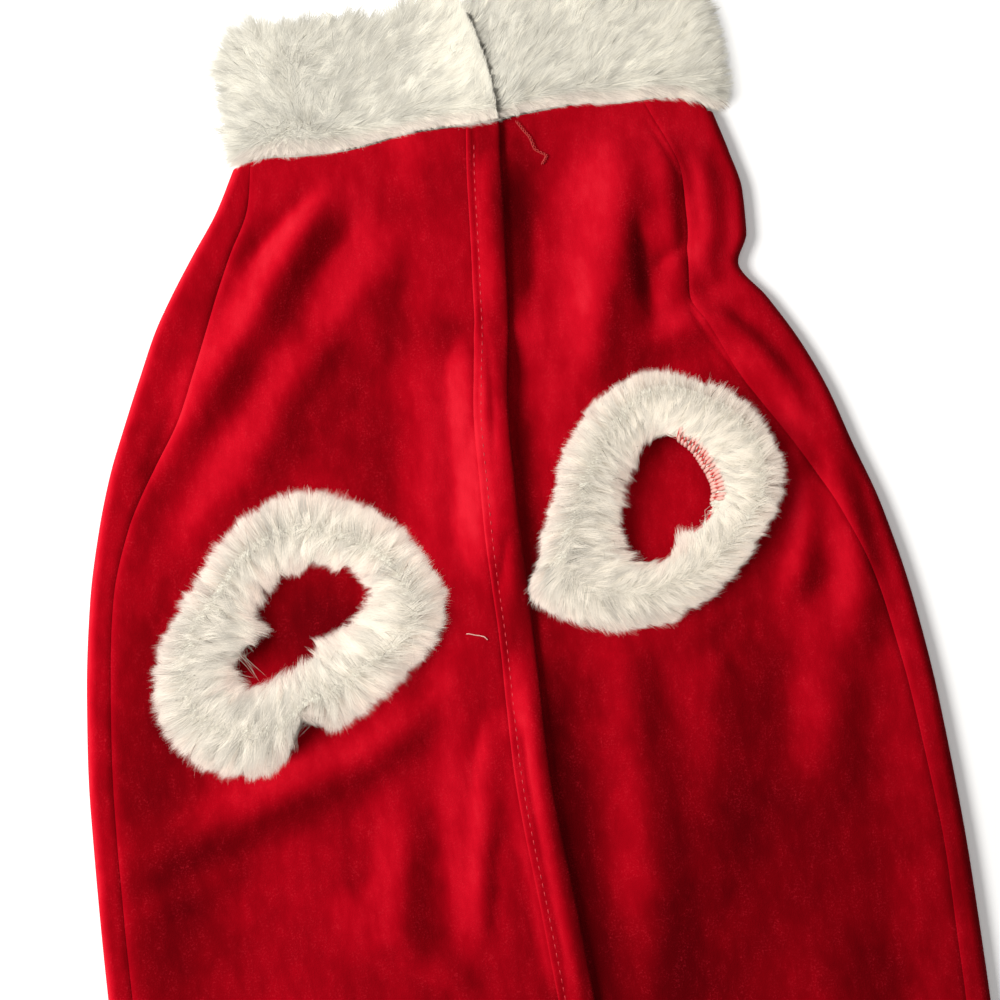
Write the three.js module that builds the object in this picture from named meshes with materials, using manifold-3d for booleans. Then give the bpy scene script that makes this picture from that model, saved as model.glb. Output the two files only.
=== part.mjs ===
// A dog's red velour dress with white faux-fur trim, laid out flat on its back with the belly side up.
// The back panel lies on the table and wraps round both sides to the side seams. The two front panels
// overlap down the centre, where their edges are turned in as plackets. A fur band closes the neck, and a
// folded fur cuff stands round each leg hole. Units are millimetres: +X across, +Y towards the neck, +Z up.
// "down" is measured from the neck seam towards the hem.
import * as THREE from "three";
import { mergeVertices } from "three/addons/utils/BufferGeometryUtils.js";
import Module from "manifold-3d";

// Driving dimensions.
const LENGTH = 380; // neck seam to hem
const COLLAR_HEIGHT = 47; // fur band at the neck, pile included
const NECK_RISE = 8; // how far the neckline rises above its lowest point
const CLOTH = 1.5; // velour
const TURNED_CLOTH = 2.2; // velour turned in and stitched, at the plackets
const HEM = 12; // depth of the turned hem
const PLACKET = 11; // width of a placket
const OVERLAP = 24; // how far the left front lies over the right front
const SEAM_GAP = 0.3; // between pieces where they are sewn
const LAYER_GAP = 0.8; // air between the front and the back where the front lies flat
const SIDE_RADIUS = 2.9; // of the middle of the cloth where it folds at the sides
const CUFF_BASE = 4.6; // height of the cloth's middle round a leg hole
const CUFF_SPREAD = { flat: 36, end: 58 }; // the cloth is level out to flat, and free beyond end
const SIDE_FADE = 30; // how far in from a side fold its lift dies away
const NECK_FADE = 45; // how far down from the neck seam its lift dies away
const FOLDS_FREE = { side: [-1, 11], down: [-6, 14] }; // where folds grow to their full height
const STEP_UP = { from: -20, to: -2 }; // where the left front climbs onto the edge of the right one
const HOLE_DEPTH = 20; // above any fold round a leg hole
const SEAM_IN = 3; // how far the cut edge of a leg hole lies behind the fur
const NECK_Y = (LENGTH - COLLAR_HEIGHT - NECK_RISE) / 2;
const REST = CLOTH * 1.5 + LAYER_GAP; // middle of a front layer that lies on the back panel
const SIDE_TOP = CLOTH / 2 + 2 * SIDE_RADIUS; // middle of the top layer at the side folds

// The laid-out garment across its width, a row for each section down from the neck seam.
const SECTIONS = [
  { down: 0, left: -78, leftSeam: -71, edge: 20, rightSeam: 74, right: 99 },
  { down: 15, left: -86, leftSeam: -74, edge: 18.5, rightSeam: 80, right: 103 },
  { down: 30, left: -96.5, leftSeam: -82, edge: 17.5, rightSeam: 84, right: 106 },
  { down: 45, left: -106.5, leftSeam: -89, edge: 16.5, rightSeam: 84, right: 105.5 },
  { down: 56, left: -113, leftSeam: -93.5, edge: 15.6, rightSeam: 82.5, right: 101 },
  { down: 70, left: -119.5, leftSeam: -99, edge: 14.5, rightSeam: 81.5, right: 110 },
  { down: 88, left: -127.5, leftSeam: -107, edge: 12, rightSeam: 91, right: 120 },
  { down: 106, left: -135, leftSeam: -119, edge: 10, rightSeam: 102, right: 127.5 },
  { down: 126, left: -141.3, leftSeam: -130, edge: 9.5, rightSeam: 114, right: 133.5 },
  { down: 150, left: -147, leftSeam: -138, edge: 9, rightSeam: 126, right: 141 },
  { down: 185, left: -152, leftSeam: -143, edge: 9.5, rightSeam: 137, right: 148 },
  { down: 225, left: -155, leftSeam: -146, edge: 9, rightSeam: 143, right: 152.5 },
  { down: 285, left: -156, leftSeam: -147, edge: 13, rightSeam: 147, right: 155.5 },
  { down: 335, left: -156, leftSeam: -147, edge: 16.5, rightSeam: 147, right: 156 },
  { down: 380, left: -156, leftSeam: -147, edge: 19, rightSeam: 147, right: 156 },
];

// How far the front neckline rises above the back one, across the width.
const NECKLINE = [
  { x: -78, rise: 0 },
  { x: -72, rise: 1.2 },
  { x: -66, rise: 2 },
  { x: -50, rise: 1 },
  { x: -38, rise: 1 },
  { x: -28, rise: 2 },
  { x: -14, rise: 4 },
  { x: 4, rise: 4.4 },
  { x: 18, rise: 4.4 },
  { x: 26, rise: 6.2 },
  { x: 35, rise: 7 },
  { x: 52, rise: NECK_RISE },
  { x: 66, rise: 6.4 },
  { x: 80, rise: 6.8 },
  { x: 90, rise: 5 },
  { x: 99, rise: 0 },
];

// Soft folds of the front: a crest from one point by way of another to a third, as [x, down]. height is
// the crest's, and below zero for a trough. width is from the crest to half-way down its flank.
const FOLDS = [
  { side: "left", from: [-40, 8], by: [-74, 52], to: [-117, 108], height: 6.5, width: 7.5 },
  { side: "left", from: [-8, 24], by: [-62, 82], to: [-136, 172], height: 4.5, width: 9 },
  { side: "left", from: [14, 6], by: [12, 34], to: [10, 66], height: 1.5, width: 8 },
  { side: "left", from: [6, 60], by: [6, 112], to: [3, 176], height: 8, width: 14 },
  { side: "left", from: [-24, 199], by: [-80, 225], to: [-146, 246], height: 6, width: 8 },
  { side: "left", from: [8, 192], by: [3, 250], to: [12, 340], height: 6, width: 8 },
  { side: "left", from: [-6, 198], by: [-15, 246], to: [-22, 306], height: 4.5, width: 6.5 },
  { side: "left", from: [-40, 232], by: [-46, 262], to: [-50, 300], height: 3, width: 6.5 },
  { side: "left", from: [-70, 264], by: [-48, 286], to: [-20, 308], height: 3, width: 8 },
  { side: "left", from: [-84, 300], by: [-92, 340], to: [-96, 380], height: 4, width: 13 },
  { side: "right", from: [17, 4], by: [15, 34], to: [14, 68], height: 4.5, width: 7.5 },
  { side: "right", from: [10, 92], by: [7, 136], to: [7, 178], height: 5, width: 6.5 },
  { side: "right", from: [7, 184], by: [7, 246], to: [15, 344], height: 6, width: 8.5 },
  { side: "right", from: [68, 0], by: [58, 50], to: [38, 114], height: 8, width: 12 },
  { side: "right", from: [80, 2], by: [79, 40], to: [78, 74], height: 4.5, width: 5.5 },
  { side: "right", from: [93, 8], by: [92, 38], to: [88, 66], height: 3.5, width: 5.5 },
  { side: "right", from: [60, 86], by: [95, 80], to: [120, 122], height: 5, width: 5.5 },
  { side: "right", from: [116, 134], by: [114, 159], to: [100, 184], height: 4, width: 5.5 },
  { side: "right", from: [130, 128], by: [130, 166], to: [124, 206], height: 3.5, width: 6 },
  { side: "right", from: [40, 182], by: [44, 240], to: [38, 330], height: 6, width: 10 },
  { side: "right", from: [72, 196], by: [68, 236], to: [58, 300], height: 3, width: 11 },
  { side: "right", from: [116, 176], by: [115, 214], to: [106, 260], height: 4, width: 10 },
  { side: "right", from: [104, 290], by: [100, 336], to: [98, 380], height: 4, width: 14 },
];

// The folded fur cuffs, seen from above. Each ring is [outer, crest, hole] radii from the centre, every
// 30 degrees from +X towards +Y, and height is the crest's above the cloth. The join is where the ends of
// the strip meet, and its outer edge is pinched in there.
const CUFFS = [
  {
    name: "left",
    centre: [-72, 170],
    height: 19,
    join: { angle: 268, depth: 11, width: 8 },
    rings: [
      [53, 41, 17],
      [52, 40, 29.5],
      [51, 36, 25],
      [50, 36, 21.5],
      [44, 33, 20],
      [42.5, 32, 18.5],
      [51.5, 40, 12.5],
      [61.5, 46, 30],
      [57.5, 39, 18],
      [42, 26, 10],
      [38, 24, 9],
      [41, 28, 8],
    ],
  },
  {
    name: "right",
    centre: [61.5, 138.5],
    height: 20,
    join: { angle: 198, depth: 4, width: 8 },
    rings: [
      [44, 36, 17.5],
      [46, 39, 17.5],
      [45, 39, 20],
      [46, 38, 22],
      [42, 29, 16],
      [39, 27, 15],
      [41, 30, 14],
      [59, 42, 18],
      [52, 37, 24.5],
      [44, 30, 22],
      [39, 28, 14.5],
      [39, 29, 16],
    ],
  },
];

// The neck band, a row for each station along it from the free end on the left front, round the left
// side, under the neck, round the right side and back to the end that lies beneath. The inner face is
// the backing, and the outer one is where the pile ends. lean is how far the free edge falls back.
const COLLAR = [
  { steps: 1, inner: [19.5, 11.6], outer: [20.5, 18.5], lean: 9 },
  { steps: 5, inner: [16, 11.6], outer: [16, 21], lean: 8 },
  { steps: 3, inner: [-6, 11.4], outer: [-6, 21], lean: 0 },
  { steps: 7, inner: [-18, 6.2], outer: [-18, 17], lean: 0 },
  { steps: 2, inner: [-64, 6.1], outer: [-66, 17], lean: 0 },
  { steps: 2, inner: [-70, 6.1], outer: [-76, 14], lean: -2 },
  { steps: 2, inner: [-71, 5.6], outer: [-79.5, 8], lean: -4 },
  { steps: 2, inner: [-70, 5.1], outer: [-76, 2], lean: -2 },
  { steps: 9, inner: [-64, 5.1], outer: [-66, 0], lean: 0 },
  { steps: 2, inner: [89, 5.1], outer: [91, 0], lean: 0 },
  { steps: 2, inner: [95, 5.1], outer: [102, 2], lean: 2 },
  { steps: 2, inner: [96, 5.6], outer: [106, 8], lean: 4 },
  { steps: 2, inner: [95, 6.1], outer: [102, 14], lean: 4 },
  { steps: 12, inner: [89, 6.1], outer: [91, 17], lean: 0 },
  { steps: 3, inner: [29, 6.2], outer: [29, 17], lean: 0 },
  { steps: 3, inner: [20, 6.2], outer: [20, 11], lean: 0 },
  { steps: 0, inner: [-4, 6.2], outer: [-4, 11], lean: 0 },
];
// How far the band's free edge stands above its even height, across the width.
const FREE_EDGE = [
  { x: -72, more: 0.5 },
  { x: -66, more: 3 },
  { x: -58, more: 4 },
  { x: -38, more: 4 },
  { x: -27, more: 0 },
  { x: -17, more: -4 },
  { x: -4, more: 1 },
  { x: 10, more: 0 },
];
// The band's outline from its seam to its free edge: the share of its height, and of its pile's depth.
const PILE = [
  { up: 0, out: 0.72 },
  { up: 0.1, out: 0.95 },
  { up: 0.35, out: 1 },
  { up: 0.7, out: 0.98 },
  { up: 0.92, out: 0.8 },
  { up: 1, out: 0.5 },
];

const clamp01 = (t) => Math.min(1, Math.max(0, t));
const ramp = (t, from, to) => {
  const s = clamp01((t - from) / (to - from));
  return s * s * (3 - 2 * s);
};
const mix = (a, b, t) => a + (b - a) * t;

// A smooth curve through a table's rows that never overshoots them.
function through(rows, key, value) {
  const xs = rows.map((row) => row[key]);
  const ys = rows.map((row) => row[value]);
  const slopes = xs.slice(1).map((x, i) => (ys[i + 1] - ys[i]) / (x - xs[i]));
  const tangents = xs.map((_, i) => {
    if (i === 0 || i === xs.length - 1) return slopes[Math.min(i, slopes.length - 1)];
    const [a, b] = [slopes[i - 1], slopes[i]];
    return a * b > 0 ? (2 * a * b) / (a + b) : 0;
  });
  return (x) => {
    if (x <= xs[0]) return ys[0];
    if (x >= xs[xs.length - 1]) return ys[ys.length - 1];
    const i = xs.findIndex((end) => end > x) - 1;
    const h = xs[i + 1] - xs[i];
    const t = (x - xs[i]) / h;
    return (
      ys[i] * (1 + 2 * t) * (1 - t) ** 2 +
      h * tangents[i] * t * (1 - t) ** 2 +
      ys[i + 1] * t * t * (3 - 2 * t) +
      h * tangents[i + 1] * t * t * (t - 1)
    );
  };
}
const left = through(SECTIONS, "down", "left");
const right = through(SECTIONS, "down", "right");
const leftSeam = through(SECTIONS, "down", "leftSeam");
const rightSeam = through(SECTIONS, "down", "rightSeam");
const edge = through(SECTIONS, "down", "edge");
const neckRise = through(NECKLINE, "x", "rise");
const freeEdge = through(FREE_EDGE, "x", "more");

// Height of one fold at a point, from its distance to the crest's curve.
const CREST_STEPS = 24;
function crestPoints(fold) {
  const curve = new THREE.QuadraticBezierCurve(
    new THREE.Vector2(...fold.from),
    new THREE.Vector2(
      2 * fold.by[0] - (fold.from[0] + fold.to[0]) / 2,
      2 * fold.by[1] - (fold.from[1] + fold.to[1]) / 2,
    ),
    new THREE.Vector2(...fold.to),
  );
  return curve.getPoints(CREST_STEPS);
}
const CRESTS = FOLDS.map((fold) => ({ ...fold, crest: crestPoints(fold) }));
const FADE = 0.28; // share of a fold's length over which each end dies away
function foldHeight(fold, x, down) {
  let nearest = Infinity;
  let along = 0;
  fold.crest.forEach((p, i) => {
    const away = (p.x - x) ** 2 + (p.y - down) ** 2;
    if (away < nearest) {
      nearest = away;
      along = i / CREST_STEPS;
    }
  });
  const ends = ramp(along, -0.05, FADE) * ramp(1 - along, -0.05, FADE);
  return fold.height * ends * Math.exp((-nearest * Math.LN2) / fold.width ** 2);
}

// Height of the middle of a front layer, before the overlap at the centre.
function looseHeight(side, x, down) {
  const inFromSide =
    (side === "left" ? x - left(down) : right(down) - x) - SIDE_RADIUS - CLOTH / 2;
  const bySide = 1 - ramp(inFromSide, 0, SIDE_FADE);
  const byNeck = 1 - ramp(down, 0, NECK_FADE);
  const lift = 1 - (1 - bySide) * (1 - byNeck);
  let folds = 0;
  for (const fold of CRESTS) if (fold.side === side) folds += foldHeight(fold, x, down);
  const free = ramp(inFromSide, ...FOLDS_FREE.side) * ramp(down, ...FOLDS_FREE.down);
  let z = mix(REST, SIDE_TOP, lift) + folds * free;
  for (const cuff of CUFFS) {
    if (cuff.name !== side) continue;
    const away = Math.hypot(x - cuff.centre[0], down - cuff.centre[1]);
    z = mix(CUFF_BASE, z, ramp(away, CUFF_SPREAD.flat, CUFF_SPREAD.end));
  }
  return z;
}

// The right front's placket lies flat beneath, and the left front rests on it.
const underEdge = (down) => edge(down) - OVERLAP;
function rightHeight(x, down) {
  const flat = mix(SIDE_TOP, REST, ramp(down, 0, NECK_FADE));
  const share = ramp(x, underEdge(down) + PLACKET, edge(down) - 2);
  return mix(flat, looseHeight("right", x, down), share);
}
const ON_TOP = TURNED_CLOTH + 0.5; // from one layer's middle to the next
function leftHeight(x, down) {
  const loose = looseHeight("left", x, down);
  const under = rightHeight(Math.max(x, underEdge(down)), down) + ON_TOP;
  const reach = ramp(x, underEdge(down) + STEP_UP.from, underEdge(down) + STEP_UP.to);
  return loose + reach * Math.max(0, under - loose);
}

// A point on the top layer, with the way that it faces.
function topPoint(side, x, down) {
  const height = side === "left" ? leftHeight : rightHeight;
  const d = 0.5;
  const across = (height(x + d, down) - height(x - d, down)) / (2 * d);
  const along = (height(x, down + d) - height(x, down - d)) / (2 * d);
  return {
    place: new THREE.Vector3(x, NECK_Y - down, height(x, down)),
    facing: new THREE.Vector3(-across, along, 1).normalize(),
  };
}

// The back panel round one section: from the left seam on top, over the left fold, across the table,
// over the right fold and up to the right seam. Each entry gives a point and the way it faces.
const BACK_TOP_STEPS = 3;
const BACK_TURN_STEPS = 4;
const BACK_FLAT_STEPS = 3;
function backSection(s) {
  const down = s * LENGTH;
  const [l, r] = [left(down) + CLOTH / 2 + SIDE_RADIUS, right(down) - CLOTH / 2 - SIDE_RADIUS];
  const points = [];
  const onTop = (side, x) => {
    const start = -neckRise(x);
    points.push(topPoint(side, x, mix(start, LENGTH, s)));
  };
  for (let i = 0; i <= BACK_TOP_STEPS; i++)
    onTop("left", mix(leftSeam(down) - SEAM_GAP / 2, l, i / BACK_TOP_STEPS));
  const turn = (x, from, steps) => {
    for (let i = 1; i < steps; i++) {
      const a = from + (Math.PI * i) / steps;
      const facing = new THREE.Vector3(Math.cos(a), 0, Math.sin(a));
      points.push({
        place: new THREE.Vector3(x, NECK_Y - down, CLOTH / 2 + SIDE_RADIUS).addScaledVector(
          facing,
          SIDE_RADIUS,
        ),
        facing,
      });
    }
  };
  turn(l, Math.PI / 2, BACK_TURN_STEPS);
  for (let i = 0; i <= BACK_FLAT_STEPS; i++)
    points.push({
      place: new THREE.Vector3(mix(l, r, i / BACK_FLAT_STEPS), NECK_Y - down, CLOTH / 2),
      facing: new THREE.Vector3(0, 0, -1),
    });
  turn(r, -Math.PI / 2, BACK_TURN_STEPS);
  for (let i = 0; i <= BACK_TOP_STEPS; i++)
    onTop("right", mix(r, rightSeam(down) + SEAM_GAP / 2, i / BACK_TOP_STEPS));
  return points;
}

// Shares of the length at which sections are taken, closer together where the folds are.
const SECTION_SHARES = [];
for (let down = 0; down < 236; down += 7) SECTION_SHARES.push(down / LENGTH);
for (let i = 0; i <= 11; i++) SECTION_SHARES.push(mix(240, LENGTH, i / 11) / LENGTH);

// Closes a grid of points into a wall: an outer face, an inner face and a rim all round. Each square is
// split along its more level diagonal, which follows the folds.
function wallOf(grid, thickness) {
  const [rows, columns] = [grid.length, grid[0].length];
  const positions = [];
  for (const sign of [1, -1])
    grid.forEach((row, i) =>
      row.forEach(({ place, facing }, j) => {
        const p = place.clone().addScaledVector(facing, (sign * thickness(i, j)) / 2);
        positions.push(p.x, p.y, p.z);
      }),
    );
  const index = [];
  const at = (face, i, j) => face * rows * columns + i * columns + j;
  const quad = (a, b, c, d) => index.push(a, b, c, a, c, d);
  const height = (i, j) => grid[i][j].place.z;
  for (let i = 0; i < rows - 1; i++)
    for (let j = 0; j < columns - 1; j++) {
      const outside = [at(0, i, j), at(0, i + 1, j), at(0, i + 1, j + 1), at(0, i, j + 1)];
      const inside = [at(1, i, j), at(1, i, j + 1), at(1, i + 1, j + 1), at(1, i + 1, j)];
      const oneWay = Math.abs(height(i, j) - height(i + 1, j + 1));
      const otherWay = Math.abs(height(i + 1, j) - height(i, j + 1));
      for (const corners of [outside, inside]) {
        if (oneWay > otherWay) corners.push(corners.shift());
        quad(...corners);
      }
    }
  for (let j = 0; j < columns - 1; j++) {
    quad(at(0, 0, j), at(0, 0, j + 1), at(1, 0, j + 1), at(1, 0, j));
    const i = rows - 1;
    quad(at(0, i, j), at(1, i, j), at(1, i, j + 1), at(0, i, j + 1));
  }
  for (let i = 0; i < rows - 1; i++) {
    quad(at(0, i, 0), at(1, i, 0), at(1, i + 1, 0), at(0, i + 1, 0));
    const j = columns - 1;
    quad(at(0, i, j), at(0, i + 1, j), at(1, i + 1, j), at(1, i, j));
  }
  return closed(positions, index);
}

// A closed ring or tube: rings of points, each a loop, joined in order, with flat ends unless it meets
// itself.
function loopsOf(rings, round) {
  const n = rings[0].length;
  const positions = rings.flat().flatMap((p) => [p.x, p.y, p.z]);
  const index = [];
  const last = round ? rings.length : rings.length - 1;
  for (let i = 0; i < last; i++)
    for (let j = 0; j < n; j++) {
      const [a, b] = [i * n + j, i * n + ((j + 1) % n)];
      const next = ((i + 1) % rings.length) * n;
      const [c, d] = [next + ((j + 1) % n), next + j];
      index.push(a, b, c, a, c, d);
    }
  if (!round) {
    const end = (rings.length - 1) * n;
    for (let j = 1; j < n - 1; j++) {
      index.push(0, j + 1, j);
      index.push(end, end + j, end + j + 1);
    }
  }
  return closed(positions, index);
}

// A geometry with its faces turned outwards.
function closed(positions, index) {
  let volume = 0;
  const at = (i) => new THREE.Vector3().fromArray(positions, 3 * i);
  for (let i = 0; i < index.length; i += 3)
    volume += at(index[i]).dot(at(index[i + 1]).cross(at(index[i + 2])));
  if (volume < 0)
    for (let i = 0; i < index.length; i += 3)
      [index[i + 1], index[i + 2]] = [index[i + 2], index[i + 1]];
  const geometry = new THREE.BufferGeometry();
  geometry.setAttribute("position", new THREE.Float32BufferAttribute(positions, 3));
  geometry.setIndex(index);
  return geometry;
}

const wasm = await Module();
wasm.setup();
function solidOf(geometry) {
  const bare = geometry.clone();
  bare.deleteAttribute("normal");
  bare.deleteAttribute("uv");
  const merged = mergeVertices(bare);
  return new wasm.Manifold(
    new wasm.Mesh({
      numProp: 3,
      vertProperties: merged.attributes.position.array,
      triVerts: new Uint32Array(merged.index.array),
    }),
  );
}
function geometryOf(solid) {
  const mesh = solid.getMesh();
  const geometry = new THREE.BufferGeometry();
  geometry.setAttribute("position", new THREE.Float32BufferAttribute(mesh.vertProperties, 3));
  geometry.setIndex([...mesh.triVerts]);
  return geometry;
}

// A radius round a cuff at an angle, from its rows of rings.
const [OUTER, CREST, HOLE] = [0, 1, 2];
function cuffRadius(cuff, which, angle) {
  const n = cuff.rings.length;
  const t = ((angle / (2 * Math.PI)) * n + n) % n;
  const i = Math.floor(t);
  const f = t - i;
  const [a, b, c, d] = [-1, 0, 1, 2].map((k) => cuff.rings[(i + k + n) % n][which]);
  const smooth = b + 0.5 * f * (c - a + f * (2 * a - 5 * b + 4 * c - d + f * (3 * (b - c) + d - a)));
  if (which !== OUTER) return smooth;
  const away = (((angle * 180) / Math.PI - cuff.join.angle + 540) % 360) - 180;
  return smooth - cuff.join.depth * Math.exp(-((away / cuff.join.width) ** 2));
}

// Rows of points that run from a seam to the centre edge, on one of the top layers.
function panelGrid(side, from, to, columns) {
  return SECTION_SHARES.map((s) =>
    Array.from({ length: columns + 1 }, (_, j) => {
      const down = s * LENGTH;
      const x = mix(from(down), to(down), j / columns);
      return topPoint(side, x, mix(-neckRise(x), LENGTH, s));
    }),
  );
}
const hemmed = (i) =>
  SECTION_SHARES[i] * LENGTH > LENGTH - HEM - 1 ? TURNED_CLOTH : CLOTH;

const HOLE_SIDES = 36;
function legHole(cuff) {
  const outline = new THREE.Shape();
  for (let i = 0; i < HOLE_SIDES; i++) {
    const a = (2 * Math.PI * i) / HOLE_SIDES;
    const r = cuffRadius(cuff, HOLE, a) + SEAM_IN;
    const [x, y] = [cuff.centre[0] + r * Math.cos(a), NECK_Y - cuff.centre[1] + r * Math.sin(a)];
    if (i === 0) outline.moveTo(x, y);
    else outline.lineTo(x, y);
  }
  return solidOf(new THREE.ExtrudeGeometry(outline, { depth: HOLE_DEPTH, bevelEnabled: false }));
}

const CUFF_STEPS = 45;
// A cuff's outline from the inner base over the crest to the outer base. out is 0 at the hole, 1 at the
// crest and 2 at the outer edge, and up is the share of the height.
const CUFF_PROFILE = [
  { out: 0.3, up: 0 },
  { out: 0.06, up: 0.22 },
  { out: 0, up: 0.5 },
  { out: 0.3, up: 0.8 },
  { out: 0.72, up: 0.97 },
  { out: 1.12, up: 1 },
  { out: 1.5, up: 0.88 },
  { out: 1.86, up: 0.6 },
  { out: 2, up: 0.3 },
  { out: 1.92, up: 0.08 },
  { out: 1.72, up: 0 },
  { out: 1.1, up: 0 },
];
const OVER_FOLDS = 0.4; // share of a cuff's height that it keeps where a fold lifts it
function cuffRing(cuff) {
  const rings = [];
  for (let i = 0; i < CUFF_STEPS; i++) {
    const a = (2 * Math.PI * i) / CUFF_STEPS;
    rings.push(
      CUFF_PROFILE.map(({ out, up }) => {
        const [inner, outer, part] = out < 1 ? [HOLE, CREST, out] : [CREST, OUTER, out - 1];
        const r = mix(cuffRadius(cuff, inner, a), cuffRadius(cuff, outer, a), part);
        const x = cuff.centre[0] + r * Math.cos(a);
        const down = cuff.centre[1] - r * Math.sin(a);
        const under = topPoint(cuff.name, x, down);
        const slant = (CLOTH / 2 + SEAM_GAP) / under.facing.z;
        const level = CUFF_BASE + CLOTH / 2 + SEAM_GAP + cuff.height * up;
        const z = Math.max(level, under.place.z + slant + cuff.height * up * OVER_FOLDS);
        return new THREE.Vector3(x, NECK_Y - down, up === 0 ? under.place.z + slant : z);
      }),
    );
  }
  return loopsOf(rings, true);
}

const FRONT_SEAM = [5.1, 5.7]; // heights between which the band's seam passes from the back to the front
// The neck band: its stations, each a loop in the plane of the band's height and its thickness.
function collarBand() {
  const stations = [];
  COLLAR.forEach((row, i) => {
    const next = COLLAR[i + 1];
    if (!next) {
      stations.push(row);
      return;
    }
    for (let k = 0; k < row.steps; k++) {
      const t = k / row.steps;
      const part = (key) => [0, 1].map((n) => mix(row[key][n], next[key][n], t));
      const lean = mix(row.lean, next.lean, t);
      stations.push({ inner: part("inner"), outer: part("outer"), lean });
    }
  });
  const rings = stations.map(({ inner, outer, lean }) => {
    const onTop = ramp(inner[1], ...FRONT_SEAM);
    const y0 = NECK_Y + SEAM_GAP + neckRise(inner[0]) * onTop;
    const height = COLLAR_HEIGHT - SEAM_GAP + freeEdge(inner[0]);
    const at = (up, out) =>
      new THREE.Vector3(
        mix(inner[0], outer[0], out) - lean * up * up,
        y0 + height * up,
        mix(inner[1], outer[1], out),
      );
    return [at(0, 0), ...PILE.map(({ up, out }) => at(up, out)), at(1, 0)];
  });
  return loopsOf(rings, false);
}

const velour = new THREE.MeshStandardMaterial({ color: 0xb8051c, roughness: 0.85, metalness: 0 });
const turned = new THREE.MeshStandardMaterial({ color: 0xc00a20, roughness: 0.85, metalness: 0 });
const fur = new THREE.MeshStandardMaterial({ color: 0xebe5d8, roughness: 0.95, metalness: 0 });

const dress = new THREE.Group();
function add(name, geometry, material) {
  const mesh = new THREE.Mesh(geometry, material);
  mesh.name = name;
  dress.add(mesh);
}

const PANEL_COLUMNS = 21;
const PLACKET_COLUMNS = 2;
const leftGrid = panelGrid(
  "left",
  (down) => leftSeam(down) + SEAM_GAP / 2,
  (down) => edge(down) - PLACKET - SEAM_GAP / 2,
  PANEL_COLUMNS,
);
const rightGrid = panelGrid(
  "right",
  (down) => underEdge(down) + PLACKET + SEAM_GAP / 2,
  (down) => rightSeam(down) - SEAM_GAP / 2,
  PANEL_COLUMNS,
);
const [leftCuff, rightCuff] = CUFFS;
const leftPanel = solidOf(wallOf(leftGrid, hemmed)).subtract(legHole(leftCuff));
const rightPanel = solidOf(wallOf(rightGrid, hemmed)).subtract(legHole(rightCuff));

add("back_panel", wallOf(SECTION_SHARES.map(backSection), () => CLOTH), velour);
add("front_panel_left", geometryOf(leftPanel), velour);
add("front_panel_right", geometryOf(rightPanel), velour);
add(
  "placket_left",
  wallOf(
    panelGrid("left", (down) => edge(down) - PLACKET + SEAM_GAP / 2, edge, PLACKET_COLUMNS),
    () => TURNED_CLOTH,
  ),
  turned,
);
add(
  "placket_right",
  wallOf(
    panelGrid(
      "right",
      underEdge,
      (down) => underEdge(down) + PLACKET - SEAM_GAP / 2,
      PLACKET_COLUMNS,
    ),
    () => TURNED_CLOTH,
  ),
  turned,
);
add("fur_collar", collarBand(), fur);
add("fur_cuff_left", cuffRing(leftCuff), fur);
add("fur_cuff_right", cuffRing(rightCuff), fur);

export default dress;
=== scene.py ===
"""A dog's red velour dress with cream faux-fur trim, laid flat on its back with the belly side up.

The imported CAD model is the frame. The cloth pieces, the neck band and the leg cuffs stand for its nodes and
have their forms, in finer detail: walls with folds and creases, and underfur. The pile's strands, the
stitches and the loose threads are added to them. Lengths are in millimetres until a mesh is made. "down" is
measured from the neck seam towards the hem, as in the CAD model.
"""
import math

import bpy
import numpy as np
from mathutils import Matrix, Vector
from mathutils.kdtree import KDTree


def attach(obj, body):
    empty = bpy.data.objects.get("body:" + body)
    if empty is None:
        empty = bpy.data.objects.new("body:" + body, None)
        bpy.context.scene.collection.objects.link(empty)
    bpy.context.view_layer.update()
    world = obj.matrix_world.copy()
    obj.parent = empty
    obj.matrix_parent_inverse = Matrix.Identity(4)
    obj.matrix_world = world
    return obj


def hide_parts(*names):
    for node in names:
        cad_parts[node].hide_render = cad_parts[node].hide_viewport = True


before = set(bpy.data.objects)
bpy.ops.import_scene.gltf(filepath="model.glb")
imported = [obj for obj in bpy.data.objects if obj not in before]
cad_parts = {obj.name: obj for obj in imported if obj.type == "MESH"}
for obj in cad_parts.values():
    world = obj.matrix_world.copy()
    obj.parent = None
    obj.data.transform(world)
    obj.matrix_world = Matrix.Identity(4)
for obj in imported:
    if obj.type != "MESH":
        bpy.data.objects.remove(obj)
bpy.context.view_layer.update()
MM = 0.001

# ---------------------------------------------------------------- the garment's sizes, as in the CAD model

LENGTH = 380.0  # neck seam to hem
COLLAR_HEIGHT = 47.0
NECK_RISE = 8.0  # how far the neckline rises between the sides
CLOTH = 1.5
TURNED_CLOTH = 2.2
HEM = 12.0
PLACKET = 11.0
OVERLAP = 24.0
SEAM_GAP = 0.3
LAYER_GAP = 0.8
SIDE_RADIUS = 2.9
CUFF_BASE = 4.6
CUFF_SPREAD = (36.0, 58.0)  # from a cuff's centre: the cloth is level up to here, and free from there on
SIDE_FADE, NECK_FADE = 30.0, 45.0  # how far from the side folds and the neck the cloth comes down to its rest
FREE_FROM_SIDE = (-1.0, 11.0)  # where the folds begin, and where they have their full height
FREE_FROM_NECK = (-6.0, 14.0)
STEP_UP = (-20.0, -2.0)  # where the left front climbs onto the right one, from the right one's edge
SEAM_IN = 3.0  # how far outside a cuff's hole the cloth is cut
NECK_Y = (LENGTH - COLLAR_HEIGHT - NECK_RISE) / 2
REST = CLOTH * 1.5 + LAYER_GAP
SIDE_TOP = CLOTH / 2 + 2 * SIDE_RADIUS
ON_TOP = TURNED_CLOTH + 0.5

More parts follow.
